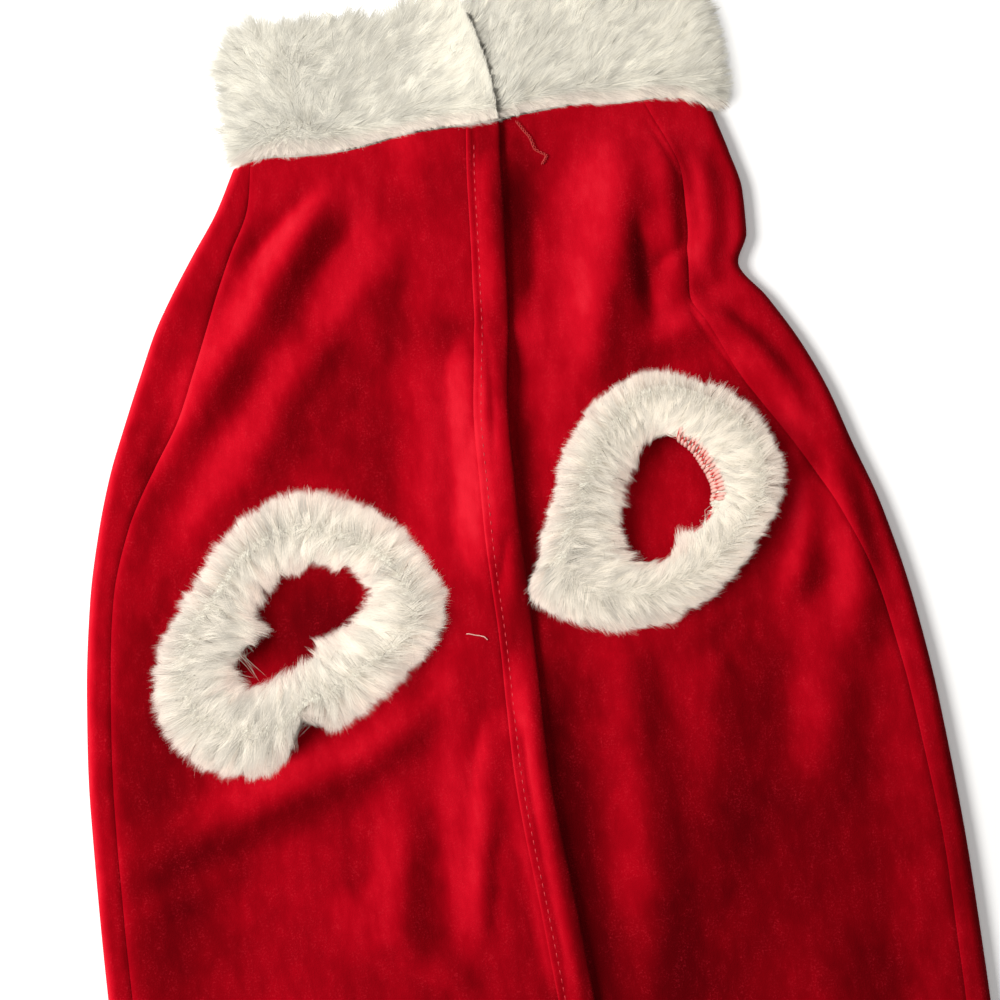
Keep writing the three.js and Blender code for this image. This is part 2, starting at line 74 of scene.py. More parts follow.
# down, left outline, left seam, centre edge of the left front, right seam, right outline
SECTIONS = [
    (0, -78, -71, 20, 74, 99),
    (15, -86, -74, 18.5, 80, 103),
    (30, -96.5, -82, 17.5, 84, 106),
    (45, -106.5, -89, 16.5, 84, 105.5),
    (56, -113, -93.5, 15.6, 82.5, 101),
    (70, -119.5, -99, 14.5, 81.5, 110),
    (88, -127.5, -107, 12, 91, 120),
    (106, -135, -119, 10, 102, 127.5),
    (126, -141.3, -130, 9.5, 114, 133.5),
    (150, -147, -138, 9, 126, 141),
    (185, -152, -143, 9.5, 137, 148),
    (225, -155, -146, 9, 143, 152.5),
    (285, -156, -147, 13, 147, 155.5),
    (335, -156, -147, 16.5, 147, 156),
    (380, -156, -147, 19, 147, 156),
]
# x, rise
NECKLINE = [
    (-78, 0), (-72, 1.2), (-66, 2), (-50, 1), (-38, 1), (-28, 2), (-14, 4), (4, 4.4),
    (18, 4.4), (26, 6.2), (35, 7), (52, NECK_RISE), (66, 6.4), (80, 6.8), (90, 5), (99, 0),
]

# side, from, by, to (each x, down), height, half-width
FOLDS = [
    ("left", (-40, 8), (-74, 52), (-117, 108), 6.5, 7.5),
    ("left", (-8, 24), (-62, 82), (-136, 172), 4.5, 9),
    ("left", (14, 6), (12, 34), (10, 66), 1.5, 8),
    ("left", (6, 60), (6, 112), (3, 176), 8, 14),
    ("left", (-24, 199), (-80, 225), (-146, 246), 6, 8),
    ("left", (8, 192), (3, 250), (12, 340), 6, 8),
    ("left", (-6, 198), (-15, 246), (-22, 306), 4.5, 6.5),
    ("left", (-40, 232), (-46, 262), (-50, 300), 3, 6.5),
    ("left", (-70, 264), (-48, 286), (-20, 308), 3, 8),
    ("left", (-84, 300), (-92, 340), (-96, 380), 4, 13),
    ("right", (17, 4), (15, 34), (14, 68), 4.5, 7.5),
    ("right", (10, 92), (7, 136), (7, 178), 5, 6.5),
    ("right", (7, 184), (7, 246), (15, 344), 6, 8.5),
    ("right", (68, 0), (58, 50), (38, 114), 8, 12),
    ("right", (80, 2), (79, 40), (78, 74), 4.5, 5.5),
    ("right", (93, 8), (92, 38), (88, 66), 3.5, 5.5),
    ("right", (60, 86), (95, 80), (120, 122), 5, 5.5),
    ("right", (116, 134), (114, 159), (100, 184), 4, 5.5),
    ("right", (130, 128), (130, 166), (124, 206), 3.5, 6),
    ("right", (40, 182), (44, 240), (38, 330), 6, 10),
    ("right", (72, 196), (68, 236), (58, 300), 3, 11),
    ("right", (116, 176), (115, 214), (106, 260), 4, 10),
    ("right", (104, 290), (100, 336), (98, 380), 4, 14),
]
CREST_STEPS = 24
FADE = 0.28

# The fur cuffs: [outer, crest, hole] radii every 30 degrees from +X towards +Y.
CUFFS = {
    "left": {
        "centre": (-72.0, 170.0),
        "height": 19.0,
        "join": (268.0, 11.0, 8.0),  # angle, depth, width
        "pile": 10.5,
        "underfur": (5.0, 6.5, 4.5),  # how deep it lies: towards the hole, outside, on top
        "rise": (0.75, 0.4),  # how steeply the strands start and end
        "tuft": 40,  # strands in a tuft
        "glow": 0.1,  # how much paler the pile is
        "paler_right": 0.2,  # and how much more at its right end
        "ragged": 0.12,  # how unevenly long the pile is towards the hole
        # how far it hangs over the hole, every 30 degrees
        "fringe": (3.5, 0.5, 0.5, 0.5, 1.5, 1.5, 2, 1, 3, 3, -1, 8),
        "rings": [
            (53, 41, 17), (52, 40, 29.5), (51, 36, 25), (50, 36, 21.5), (44, 33, 20), (42.5, 32, 18.5),
            (51.5, 40, 12.5), (61.5, 46, 30), (57.5, 39, 18), (42, 26, 10), (38, 24, 9), (41, 28, 8),
        ],
    },
    "right": {
        "centre": (61.5, 138.5),
        "height": 20.0,
        "join": (198.0, 4.0, 8.0),
        "pile": 8.5,
        "underfur": (3.5, 4.0, 3.0),
        "rise": (0.6, 0.25),
        "tuft": 22,
        "glow": 0.32,
        "paler_right": 0.12,
        "ragged": 0.45,
        "fringe": (-4.5, -4.5, -3, 0.5, 1.8, 2, 2, 1.8, 1.5, 0.5, 2, -2),
        "rings": [
            (44, 36, 17.5), (46, 39, 17.5), (45, 39, 20), (46, 38, 22), (42, 29, 16), (39, 27, 15),
            (41, 30, 14), (59, 42, 18), (52, 37, 24.5), (44, 30, 22), (39, 28, 14.5), (39, 29, 16),
        ],
    },
}
# A cuff's outline: 0 is the hole, 1 the crest and 2 the outer edge; then the share of its height.
CUFF_PROFILE = [
    (0.3, 0), (0.06, 0.22), (0, 0.5), (0.3, 0.8), (0.72, 0.97), (1.12, 1),
    (1.5, 0.88), (1.86, 0.6), (2, 0.3), (1.92, 0.08), (1.72, 0), (1.1, 0),
]

# steps, inner (x, z), outer (x, z), lean of the free edge
COLLAR = [
    (1, (19.5, 11.6), (20.5, 18.5), 9),
    (5, (16, 11.6), (16, 21), 8),
    (3, (-6, 11.4), (-6, 21), 0),
    (7, (-18, 6.2), (-18, 17), 0),
    (2, (-64, 6.1), (-66, 17), 0),
    (2, (-70, 6.1), (-76, 14), -2),
    (2, (-71, 5.6), (-79.5, 8), -4),
    (2, (-70, 5.1), (-76, 2), -2),
    (9, (-64, 5.1), (-66, 0), 0),
    (2, (89, 5.1), (91, 0), 0),
    (2, (95, 5.1), (102, 2), 2),
    (2, (96, 5.6), (106, 8), 4),
    (2, (95, 6.1), (102, 14), 4),
    (12, (89, 6.1), (91, 17), 0),
    (3, (29, 6.2), (29, 17), 0),
    (3, (20, 6.2), (20, 11), 0),
    (0, (-4, 6.2), (-4, 11), 0),
]
# x, how far the free edge stands above its even height
FREE_EDGE = [(-72, 0.5), (-66, 3), (-58, 4), (-38, 4), (-27, 0), (-17, -4), (-4, 1), (10, 0)]
PILE = [(0, 0.72), (0.1, 0.95), (0.35, 1), (0.7, 0.98), (0.92, 0.8), (1, 0.5)]  # up, out


def ramp(t, start, end):
    s = np.clip((t - start) / (end - start), 0, 1)
    return s * s * (3 - 2 * s)


def mix(a, b, t):
    return a + (b - a) * t


def unit(v):
    return v / np.maximum(np.linalg.norm(v, axis=-1, keepdims=True), 1e-9)


def through(rows, value):
    """A smooth curve through a table's rows, first column to the one named, that never overshoots."""
    xs = np.array([row[0] for row in rows], float)
    ys = np.array([row[value] for row in rows], float)
    slopes = np.diff(ys) / np.diff(xs)
    tangents = np.empty_like(ys)
    tangents[0], tangents[-1] = slopes[0], slopes[-1]
    a, b = slopes[:-1], slopes[1:]
    both = a * b > 0
    tangents[1:-1] = np.where(both, 2 * a * b / np.where(both, a + b, 1), 0)

    def curve(x):
        x = np.clip(np.asarray(x, float), xs[0], xs[-1])
        i = np.clip(np.searchsorted(xs, x, side="right") - 1, 0, len(slopes) - 1)
        h = xs[i + 1] - xs[i]
        t = (x - xs[i]) / h
        return (
            ys[i] * (1 + 2 * t) * (1 - t) ** 2
            + h * tangents[i] * t * (1 - t) ** 2
            + ys[i + 1] * t * t * (3 - 2 * t)
            + h * tangents[i + 1] * t * t * (t - 1)
        )

    return curve


left, left_seam, edge, right_seam, right = (through(SECTIONS, k) for k in range(1, 6))
neck_rise = through(NECKLINE, 1)
free_edge = through(FREE_EDGE, 1)

LATTICE = np.random.default_rng(11).random((97, 97))


def grain(x, y, size, layer=0):
    """Smooth random hills from -1 to 1, about size apart."""
    u = x / size + 13.7 * layer
    v = y / size + 29.3 * layer
    i, j = np.floor(u).astype(int), np.floor(v).astype(int)
    s, t = ramp(u - i, 0, 1), ramp(v - j, 0, 1)
    at = lambda a, b: LATTICE[(i + a) % 97, (j + b) % 97]
    low = mix(at(0, 0), at(1, 0), s)
    high = mix(at(0, 1), at(1, 1), s)
    return 2 * mix(low, high, t) - 1


# ---------------------------------------------------------------- the cloth's form

def crest_points(start, by, end):
    start, by, end = (np.array(p, float) for p in (start, by, end))
    bend = 2 * by - (start + end) / 2
    t = np.linspace(0, 1, CREST_STEPS + 1)[:, None]
    return (1 - t) ** 2 * start + 2 * t * (1 - t) * bend + t * t * end


def fold_height(fold, x, down):
    """Height of one fold at some points, from their distance to its crest."""
    _, start, by, end, height, width = fold
    crest = crest_points(start, by, end)
    nearest = np.full(x.shape, np.inf)
    along = np.zeros(x.shape)
    for k in range(CREST_STEPS):
        a, d = crest[k], crest[k + 1] - crest[k]
        t = np.clip(((x - a[0]) * d[0] + (down - a[1]) * d[1]) / (d @ d), 0, 1)
        away = (a[0] + t * d[0] - x) ** 2 + (a[1] + t * d[1] - down) ** 2
        closer = away < nearest
        nearest = np.where(closer, away, nearest)
        along = np.where(closer, (k + t) / CREST_STEPS, along)
    ends = ramp(along, -0.05, FADE) * ramp(1 - along, -0.05, FADE)
    return height * ends * np.exp(-nearest * math.log(2) / width**2)


# Narrow creases and dents between the large folds, in the same columns.
CREASES = [
    ("left", (-44, 8), (-62, 22), (-80, 38), -2.2, 4),
    ("left", (-26, 46), (-48, 74), (-74, 100), -1.8, 6),
    ("left", (-18, 82), (-24, 112), (-15, 148), -1.6, 4),
    ("left", (8, 12), (6, 36), (3, 60), -0.9, 1.9),
    ("left", (2, 64), (1, 90), (-4, 116), -0.9, 1.8),
    ("left", (6, 66), (6, 94), (3, 124), -0.6, 1.5),
    ("left", (-12, 164), (-20, 184), (-38, 199), -2.4, 3.5),
    ("left", (-17, 204), (-17, 216), (-21, 228), -1.2, 3),
    ("left", (-57, 230), (-60, 250), (-62, 272), -1.3, 3.5),
    ("left", (-10, 248), (-12, 270), (-14, 294), -1.5, 3.5),
    ("left", (-4, 250), (-2, 280), (2, 320), -0.8, 2.4),
    ("left", (-58, 284), (-44, 297), (-28, 312), -2, 4),
    ("left", (-100, 250), (-120, 258), (-142, 262), 1.0, 4),
    ("left", (-104, 78), (-114, 96), (-124, 112), -1.4, 3.2),
    ("left", (-30, 20), (-46, 34), (-58, 48), -1.0, 4),
    ("right", (66, 32), (67, 52), (67, 76), -2.2, 3.2),
    ("right", (82, 24), (82, 42), (82, 58), -0.9, 2),
    ("right", (94, 72), (106, 85), (120, 106), -2.4, 3),
    ("right", (58, 58), (55, 76), (48, 98), -1.6, 5),
    ("right", (120, 118), (119, 146), (112, 170), -1.8, 4),
    ("right", (70, 54), (76, 51), (83, 48), -1.2, 1.8),
    ("right", (84, 66), (94, 63), (104, 62), -1.0, 2.4),
    ("right", (28, 26), (27, 44), (24, 64), -0.8, 3),
    ("right", (80, 184), (84, 196), (88, 208), -1.6, 5),
    ("right", (52, 186), (50, 214), (46, 250), -1.0, 6),
    ("right", (96, 198), (98, 220), (92, 244), -1.0, 6),
]
WRINKLE = ((30.0, 0.5), (13.0, 0.2), (6.0, 0.07))  # size and height of the cloth's unevenness
LOWEST_DIP = 0.25  # how far the cloth may sink below its rest
STITCH_IN = 9.2  # from the centre edge to the placket's stitching
STITCH_GROOVE = (0.3, 0.8)  # depth and half-width of the groove that it lies in
PUCKER = (0.22, 3.5, 3.2)  # height, half-width and length of the puckers along it
SEAM_DIP = (0.5, 1.2)  # depth and half-width of the dip along a side seam


def loose_height(side, x, down):
    """Height of the middle of a front layer, before the overlap at the centre."""
    from_side = (x - left(down) if side == "left" else right(down) - x) - SIDE_RADIUS - CLOTH / 2
    by_side = 1 - ramp(from_side, 0, SIDE_FADE)
    by_neck = 1 - ramp(down, 0, NECK_FADE)
    lift = 1 - (1 - by_side) * (1 - by_neck)
    free = ramp(from_side, *FREE_FROM_SIDE) * ramp(down, *FREE_FROM_NECK)
    folds = sum(fold_height(f, x, down) for f in FOLDS if f[0] == side)
    fine = sum(fold_height(f, x, down) for f in CREASES if f[0] == side)
    for layer, (size, height) in enumerate(WRINKLE):
        fine = fine + height * grain(x + 0.3 * down, down, size, layer)
    from_seam = x - (left_seam(down) if side == "left" else right_seam(down))
    fine = fine - SEAM_DIP[0] * np.exp(-((from_seam / SEAM_DIP[1]) ** 2))
    base = mix(REST, SIDE_TOP, lift)
    z = base + np.maximum(folds * free + fine * free, REST - LOWEST_DIP - base)
    centre = CUFFS[side]["centre"]
    away = np.hypot(x - centre[0], down - centre[1])
    return mix(CUFF_BASE, z, ramp(away, *CUFF_SPREAD))


def under_edge(down):
    return edge(down) - OVERLAP


def right_height(x, down):
    flat = mix(SIDE_TOP, REST, ramp(down, 0, NECK_FADE))
    share = ramp(x, under_edge(down) + PLACKET, edge(down) - 2)
    return mix(flat, loose_height("right", x, down), share)


def left_height(x, down):
    loose = loose_height("left", x, down)
    under = right_height(np.maximum(x, under_edge(down)), down) + ON_TOP
    reach = ramp(x, under_edge(down) + STEP_UP[0], under_edge(down) + STEP_UP[1])
    z = loose + reach * np.maximum(0, under - loose)
    from_stitch = x - (edge(down) - STITCH_IN)
    height, half, length = PUCKER
    pucker = np.exp(-((from_stitch / half) ** 2)) * ramp(down, 2, 12) * height * grain(0 * x, down, length, 5)
    depth, half = STITCH_GROOVE
    return z + pucker - depth * np.exp(-((from_stitch / half) ** 2))


HEIGHT = {"left": left_height, "right": right_height}


class HeightMap:
    """The top of the cloth on a fine grid, for what has to lie on it."""

    STEP = 1.5

    def __init__(self):
        self.x = np.arange(-160, 160, self.STEP)
        self.down = np.arange(-10, LENGTH + 6, self.STEP)
        x, down = np.meshgrid(self.x, self.down)
        mid = edge(down)
        z = np.where(x < mid, left_height(x, down), right_height(x, down))
        outside = (x < left(down)) | (x > right(down))
        self.z = np.where(outside, 0, z + CLOTH / 2)

    def __call__(self, x, y):
        down = NECK_Y - y
        u = np.clip((x - self.x[0]) / self.STEP, 0, len(self.x) - 1.001)
        v = np.clip((down - self.down[0]) / self.STEP, 0, len(self.down) - 1.001)
        i, j = u.astype(int), v.astype(int)
        s, t = u - i, v - j
        low = mix(self.z[j, i], self.z[j, i + 1], s)
        high = mix(self.z[j + 1, i], self.z[j + 1, i + 1], s)
        return mix(low, high, t)


cloth_top = HeightMap()


# ---------------------------------------------------------------- meshes

# Painted light and shade on the velour, read as patches of brushed nap: x, down, how far each way, amount.
# Below zero it is painted shade and shadow, as beside the placket's edge, the cuffs and in the leg holes;
# above, painted light.
NAP_AND_PAINTED_LIGHT_PATCHES = [
    (98, 300, 80, 70, -0.6),
    (62, 232, 42, 46, -0.15),
    (-9, 108, 13, 36, 0.5),
    (-40, 92, 30, 24, -0.3),
    (-100, 310, 70, 60, -0.15),
    (45, 34, 14, 36, 0.12),
    (58, 74, 7, 22, -0.25),
    (26, 16, 7, 22, -0.5),
    (13, 140, 6, 34, -0.45),
    (17, 250, 8, 75, -0.4),
    (-24, 334, 50, 24, -0.4),
    (10, 30, 6, 30, -0.15),
    (98, 106, 12, 10, -0.5),
    (-40, 128, 14, 16, -0.4),
    (-66, 167, 19, 15, -1.1),
    (-36, 18, 7, 8, 0.5),
    (-18, 21, 8, 9, -0.5),
    (-75, 64, 6, 12, 0.45),
    (-60, 62, 6, 8, -0.4),
    (-41, 61, 7, 8, 0.5),
    (-24, 67, 8, 12, -0.45),
    (-6, 69, 7, 9, -0.5),
    (-28, 102, 8, 12, -0.35),
    (13, 30, 5, 34, -0.45),
    (6, 116, 5, 12, 0.3),
    (3, 168, 5, 22, -0.6),
    (23, 69, 4, 9, 0.45),
    (89, 20, 7, 14, 0.35),
    (97, 44, 6, 16, 0.45),
    (86, 58, 5, 9, 0.35),
    (68, 53, 6, 9, -0.65),
    (50, 50, 6, 12, -0.25),
    (33, 81, 7, 10, -0.35),
    (76, 79, 8, 7, 0.3),
    (116, 109, 7, 9, 0.4),
    (128, 132, 7, 12, -0.5),
    (-18, 256, 6, 26, 0.3),
    (-124, 232, 14, 60, -0.7),
    (31, 208, 7, 24, -0.5),
    (91, 197, 12, 14, -0.4),
    (40, 299, 14, 26, -0.35),
    (98, 252, 20, 20, -0.2),
]
PAINTED_LIGHT_FROM = np.array([-0.93, 0.37, 0.0])  # painted light: slopes facing this way, towards the key light, are painted brightest
# how strongly the painted light and shade follow the slopes
PAINTED_LIGHT_GAIN = 1.25


def painted_light_on_nap(mesh):
    """Painted light and shade: lighter on slopes facing the key light, darker on those facing away, plus the
    listed patches.
    """
    count = len(mesh.vertices)
    place, facing = np.empty(count * 3, np.float32), np.empty(count * 3, np.float32)
    mesh.vertices.foreach_get("co", place)
    mesh.vertex_normals.foreach_get("vector", facing)
    x, y, _ = (place.reshape(-1, 3) / MM).T
    # painted light: slopes facing the key light are painted lighter, those facing away darker
    painted_light_and_nap = PAINTED_LIGHT_GAIN * facing.reshape(-1, 3) @ PAINTED_LIGHT_FROM
    for at, down, reach, reach_down, amount in NAP_AND_PAINTED_LIGHT_PATCHES:
        away = ((x - at) / reach) ** 2 + ((NECK_Y - y - down) / reach_down) ** 2
        painted_light_and_nap += amount * np.exp(-away * math.log(2))
    return np.clip(0.5 + 0.5 * painted_light_and_nap, 0, 1)


def set_field(obj, name, values):
    field = obj.data.attributes.new(name, "FLOAT", "POINT")
    field.data.foreach_set("value", np.asarray(values, np.float32))


def piece(name, points, faces, material, node=None):
    """A mesh object from points in millimetres, riding on the part's one body."""
    mesh = bpy.data.meshes.new(name)
    faces = np.asarray(faces)
    size = faces.shape[1]
    mesh.vertices.add(len(points))
    mesh.vertices.foreach_set("co", (np.asarray(points) * MM).astype(np.float32).ravel())
    mesh.loops.add(faces.size)
    mesh.loops.foreach_set("vertex_index", faces.astype(np.int32).ravel())
    mesh.polygons.add(len(faces))
    mesh.polygons.foreach_set("loop_start", np.arange(0, faces.size, size, dtype=np.int32))
    mesh.polygons.foreach_set("use_smooth", np.ones(len(faces), bool))
    mesh.update(calc_edges=True)
    mesh.materials.append(material)
    obj = bpy.data.objects.new(name, mesh)
    bpy.context.scene.collection.objects.link(obj)
    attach(obj, "root")
    # The velour gets the nap field: painted light and shade that its colour ramp reads.
    if material == VELOUR:
        set_field(obj, "nap", painted_light_on_nap(mesh))
    if node:
        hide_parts(node)
    return obj


def grid_quads(rows, columns):
    a = (np.arange(rows - 1)[:, None] * columns + np.arange(columns - 1)[None]).ravel()
    return np.stack([a, a + columns, a + columns + 1, a + 1], axis=1)


def grid_facing(p):
    """Which way each point of a grid of rows faces: up, for rows that run down the garment."""
    across, along = np.gradient(p, axis=1), np.gradient(p, axis=0)
    return unit(np.cross(along, across))


RIM_STEPS = 3


def wall(points, facing, quads, thickness):
    """A closed wall about a middle surface, with rounded edges: its points and its faces."""
    used, quads = np.unique(quads, return_inverse=True)
    quads = quads.reshape(-1, 4)
    points, facing = points[used], facing[used]
    half = (thickness[used] if np.ndim(thickness) else np.full(len(used), thickness))[:, None] / 2
    n = len(points)
    edges = np.concatenate([quads[:, [k, (k + 1) % 4]] for k in range(4)])
    rim = edges[~np.isin(edges[:, 0] * n + edges[:, 1], edges[:, 1] * n + edges[:, 0])]
    outward = np.zeros_like(points)
    across = unit(np.cross(points[rim[:, 1]] - points[rim[:, 0]], facing[rim[:, 0]]))
    for end in (0, 1):
        np.add.at(outward, rim[:, end], across)
    outward = unit(outward)
    on_rim = np.unique(rim)
    place = np.zeros(n, int)
    place[on_rim] = np.arange(len(on_rim))
    layers, rings = [points + facing * half], [np.arange(n)]
    for k in range(1, RIM_STEPS + 1):
        a = math.pi * k / (RIM_STEPS + 1)
        turned = facing * math.cos(a) + outward * math.sin(a)
        rings.append(sum(len(layer) for layer in layers) + place)
        layers.append((points + turned * half)[on_rim])
    rings.append(sum(len(layer) for layer in layers) + np.arange(n))
    layers.append(points - facing * half)
    faces = [quads, rings[-1][quads[:, ::-1]]]
    for upper, lower in zip(rings, rings[1:]):
        a, b = rim[:, 0], rim[:, 1]
        faces.append(np.stack([upper[b], upper[a], lower[a], lower[b]], axis=1))
    return np.concatenate(layers), np.concatenate(faces)


# ---------------------------------------------------------------- materials

def nodes_of(name):
    material = bpy.data.materials.new(name)
    material.use_nodes = True
    tree = material.node_tree
    return material, tree, tree.nodes["Principled BSDF"]


def put(tree, node, inputs):
    """Links or sets a node's inputs."""
    for key, value in inputs.items():
        if isinstance(value, bpy.types.NodeSocket):
            tree.links.new(value, node.inputs[key])
        else:
            node.inputs[key].default_value = value


def add(tree, kind, inputs=None, **settings):
    node = tree.nodes.new(kind)
    for key, value in settings.items():
        setattr(node, key, value)
    put(tree, node, inputs or {})
    return node


def ramp_node(tree, value, stops):
    node = add(tree, "ShaderNodeValToRGB", {"Fac": value})
    elements = node.color_ramp.elements
    while len(elements) < len(stops):
        elements.new(0.5)
    for element, (place, colour) in zip(elements, stops):
        element.position = place
        element.color = (*colour, 1)
    return node.outputs["Color"]


def math_node(tree, operation, a, b):
    return add(tree, "ShaderNodeMath", {0: a, 1: b}, operation=operation).outputs[0]


def mix_node(tree, share, a, b, blend="MIX"):
    inputs = {"Factor": share, "A": a, "B": b}
    return add(tree, "ShaderNodeMix", inputs, data_type="RGBA", blend_type=blend).outputs["Result"]


def field_node(tree, name):
    """The values that set_field gave to the piece's points."""
    return add(tree, "ShaderNodeAttribute", attribute_name=name).outputs["Fac"]


def velour_material():
    """Brushed polyester velour: a dense nap in patches, coloured by painted light and shade, with painted
    glints as flecks.
    """
    material, tree, shader = nodes_of("red_velour")
    where = add(tree, "ShaderNodeTexCoord").outputs["Object"]
    turned = add(tree, "ShaderNodeMapping", {"Vector": where, "Rotation": (0, 0, 0.6), "Scale": (1, 0.4, 1)})
    plus = lambda a, b: math_node(tree, "ADD", a, b)
    times = lambda a, b: math_node(tree, "MULTIPLY", a, b)

    def cloud(scale, detail, vector=where):
        inputs = {"Vector": vector, "Scale": scale, "Detail": detail, "Roughness": 0.6}
        return add(tree, "ShaderNodeTexNoise", inputs).outputs["Fac"]

    patches = cloud(48, 3)
    brushed = cloud(210, 4, turned.outputs["Vector"])
    fibres = cloud(1500, 3)
    uneven = plus(times(patches, 0.35), times(brushed, 0.3))
    # painted light and shade from the nap field, with random patches, picks the colour
    painted_light_and_nap = plus(field_node(tree, "nap"), math_node(tree, "SUBTRACT", uneven, 0.325))
    base = ramp_node(tree, painted_light_and_nap, [
        (0.0, (0.11, 0.0001, 0.002)),
        (0.25, (0.19, 0.0002, 0.003)),
        (0.5, (0.33, 0.0006, 0.006)),
        (0.75, (0.5, 0.003, 0.013)),
        (1.0, (0.66, 0.014, 0.03)),
    ])
    # painted glints: lighter flecks where the nap catches the light
    painted_glints = times(
        ramp_node(tree, fibres, [(0.52, (0, 0, 0)), (0.7, (1, 1, 1))]),
        ramp_node(tree, brushed, [(0.42, (0, 0, 0)), (0.66, (0.35, 0.35, 0.35))]),
    )
    relief = plus(times(fibres, 0.7), times(brushed, 0.6))
    bump = add(tree, "ShaderNodeBump", {"Height": relief, "Strength": 0.5, "Distance": 0.0006})
    put(tree, shader, {
        "Base Color": mix_node(tree, painted_glints, base, (0.6, 0.018, 0.033, 1)),
        "Normal": bump.outputs["Normal"],
        "Roughness": 0.9,
        "Specular IOR Level": 0.02,
        "Sheen Weight": 0.12,
        "Sheen Roughness": 0.4,
        "Sheen Tint": (1, 0.05, 0.08, 1),
    })
    return material


MOST_TONE = 1.4  # the palest tone of a strand


def fur_material(name, tint):
    """Faux fur: strands of many tones, with painted shade at the roots and painted red light from the cloth
    on some.
    """
    material, tree, shader = nodes_of(name)
    # painted shade: darker roots stand in for the shade deep in the pile, as the strands cast no shadows
    pale = ramp_node(tree, field_node(tree, "along"), [
        (0, (0.44, 0.41, 0.34)),
        (0.5, (0.71, 0.68, 0.595)),
        (1, (0.84, 0.815, 0.73)),
    ])
    # tone: random by tuft and strand, plus painted highlights and shade passed in as glow
    tone = math_node(tree, "MULTIPLY", field_node(tree, "tone"), 1 / MOST_TONE)
    tinted = lambda share: tuple(share * c for c in tint)
    shade = ramp_node(tree, tone, [(0, tinted(0.52)), (0.7, tint), (1, tinted(1.17))])
    both = mix_node(tree, 1.0, pale, shade, "MULTIPLY")
    put(tree, shader, {
        # painted red light from the cloth, shining through and bouncing onto the strands
        "Base Color": mix_node(tree, field_node(tree, "painted_red_light"), both, (0.7, 0.2, 0.19, 1)),
        "Roughness": 0.55,
        "Specular IOR Level": 0.3,
        "Sheen Weight": 0.2,
    })
    return material


def shaded_underfur_material():
    """The dense underfur that the long strands stand on, darker than them: painted shade deep in the pile."""
    material, tree, shader = nodes_of("underfur")
    where = add(tree, "ShaderNodeTexCoord").outputs["Object"]
    fluff = add(tree, "ShaderNodeTexNoise", {"Vector": where, "Scale": 900.0, "Detail": 3.0}).outputs["Fac"]
    # painted shade: the underfur is coloured darker, as the pile over it casts no shadow
    colour = ramp_node(tree, fluff, [(0.35, (0.6, 0.57, 0.49)), (0.65, (0.76, 0.74, 0.65))])
    bump = add(tree, "ShaderNodeBump", {"Height": fluff, "Strength": 0.8, "Distance": 0.001})
    put(tree, shader, {"Base Color": colour, "Normal": bump.outputs["Normal"], "Roughness": 0.9})
    return material


def thread_material(name, colour):
    material, tree, shader = nodes_of(name)
    where = add(tree, "ShaderNodeTexCoord").outputs["Object"]
    twist = add(tree, "ShaderNodeTexNoise", {"Vector": where, "Scale": 3000.0, "Detail": 1.0}).outputs["Fac"]
    dark = tuple(0.75 * c for c in colour)
    twisted = ramp_node(tree, twist, [(0.3, dark), (0.7, colour)])
    put(tree, shader, {"Base Color": twisted, "Roughness": 0.5})
    return material


VELOUR = velour_material()
FUR = fur_material("cream_fur", (1.0, 1.0, 1.0))
# The cuffs' fur has a pinkish tint: painted red light bounced from the cloth.
CUFF_FUR_RED_BOUNCE = fur_material("cuff_fur_red_bounce", (1.0, 0.965, 0.96))
SHADED_UNDERFUR = shaded_underfur_material()
RED_THREAD = thread_material("red_thread", (0.6, 0.01, 0.024))
PALE_THREAD = thread_material("pale_thread", (0.9, 0.5, 0.44))
TAIL_THREAD = thread_material("tail_thread", (0.62, 0.045, 0.04))


# ---------------------------------------------------------------- cloth pieces

ROWS = 190  # points from the neck to the hem
PANEL_COLUMNS = 72  # squares across a front panel
PLACKET_COLUMNS = 10
BACK_TOP, BACK_TURN, BACK_FLAT = 10, 9, 48  # and across the back: on top, round a side fold, on the table


def cloth_points(side, x, down, lift=0.0):
    """Points on the middle of a front layer, or lifted off it."""
    return np.stack([x, NECK_Y - down, HEIGHT[side](x, down) + lift], axis=-1)


def layer_grid(side, start, end, columns):
    """The middle of a front layer, from one edge curve to another and from the neck to the hem."""
    share = np.linspace(0, 1, ROWS)[:, None]
    x = mix(start(share * LENGTH), end(share * LENGTH), np.linspace(0, 1, columns + 1)[None])
    return cloth_points(side, x, mix(-neck_rise(x), LENGTH, share))


def cuff_radius(cuff, which, angle):
    """A radius round a cuff, through its rows of rings."""
    rings = np.array(cuff["rings"], float)[:, which]
    n = len(rings)
    t = np.mod(angle / (2 * np.pi) * n, n)
    i = np.floor(t).astype(int)
    f = t - i
    a, b, c, d = (rings[(i + k) % n] for k in (-1, 0, 1, 2))
    smooth = b + 0.5 * f * (c - a + f * (2 * a - 5 * b + 4 * c - d + f * (3 * (b - c) + d - a)))
    if which:
        return smooth
    at, depth, width = cuff["join"]
    away = np.mod(np.degrees(angle) - at + 540, 360) - 180
    return smooth - depth * np.exp(-((away / width) ** 2))


OUTER, CREST, HOLE = 0, 1, 2


def centre_of(cuff):
    x, down = cuff["centre"]
    return x, NECK_Y - down


def round_centre(cuff, x, y):
    """How far from a cuff's centre places are, and at which angle."""
    dx, dy = x - centre_of(cuff)[0], y - centre_of(cuff)[1]
    return np.hypot(dx, dy), np.arctan2(dy, dx)


def from_centre(cuff, r, angle):
    """The places at some distance and angle from a cuff's centre."""
    x, y = centre_of(cuff)
    return x + r * np.cos(angle), y + r * np.sin(angle)


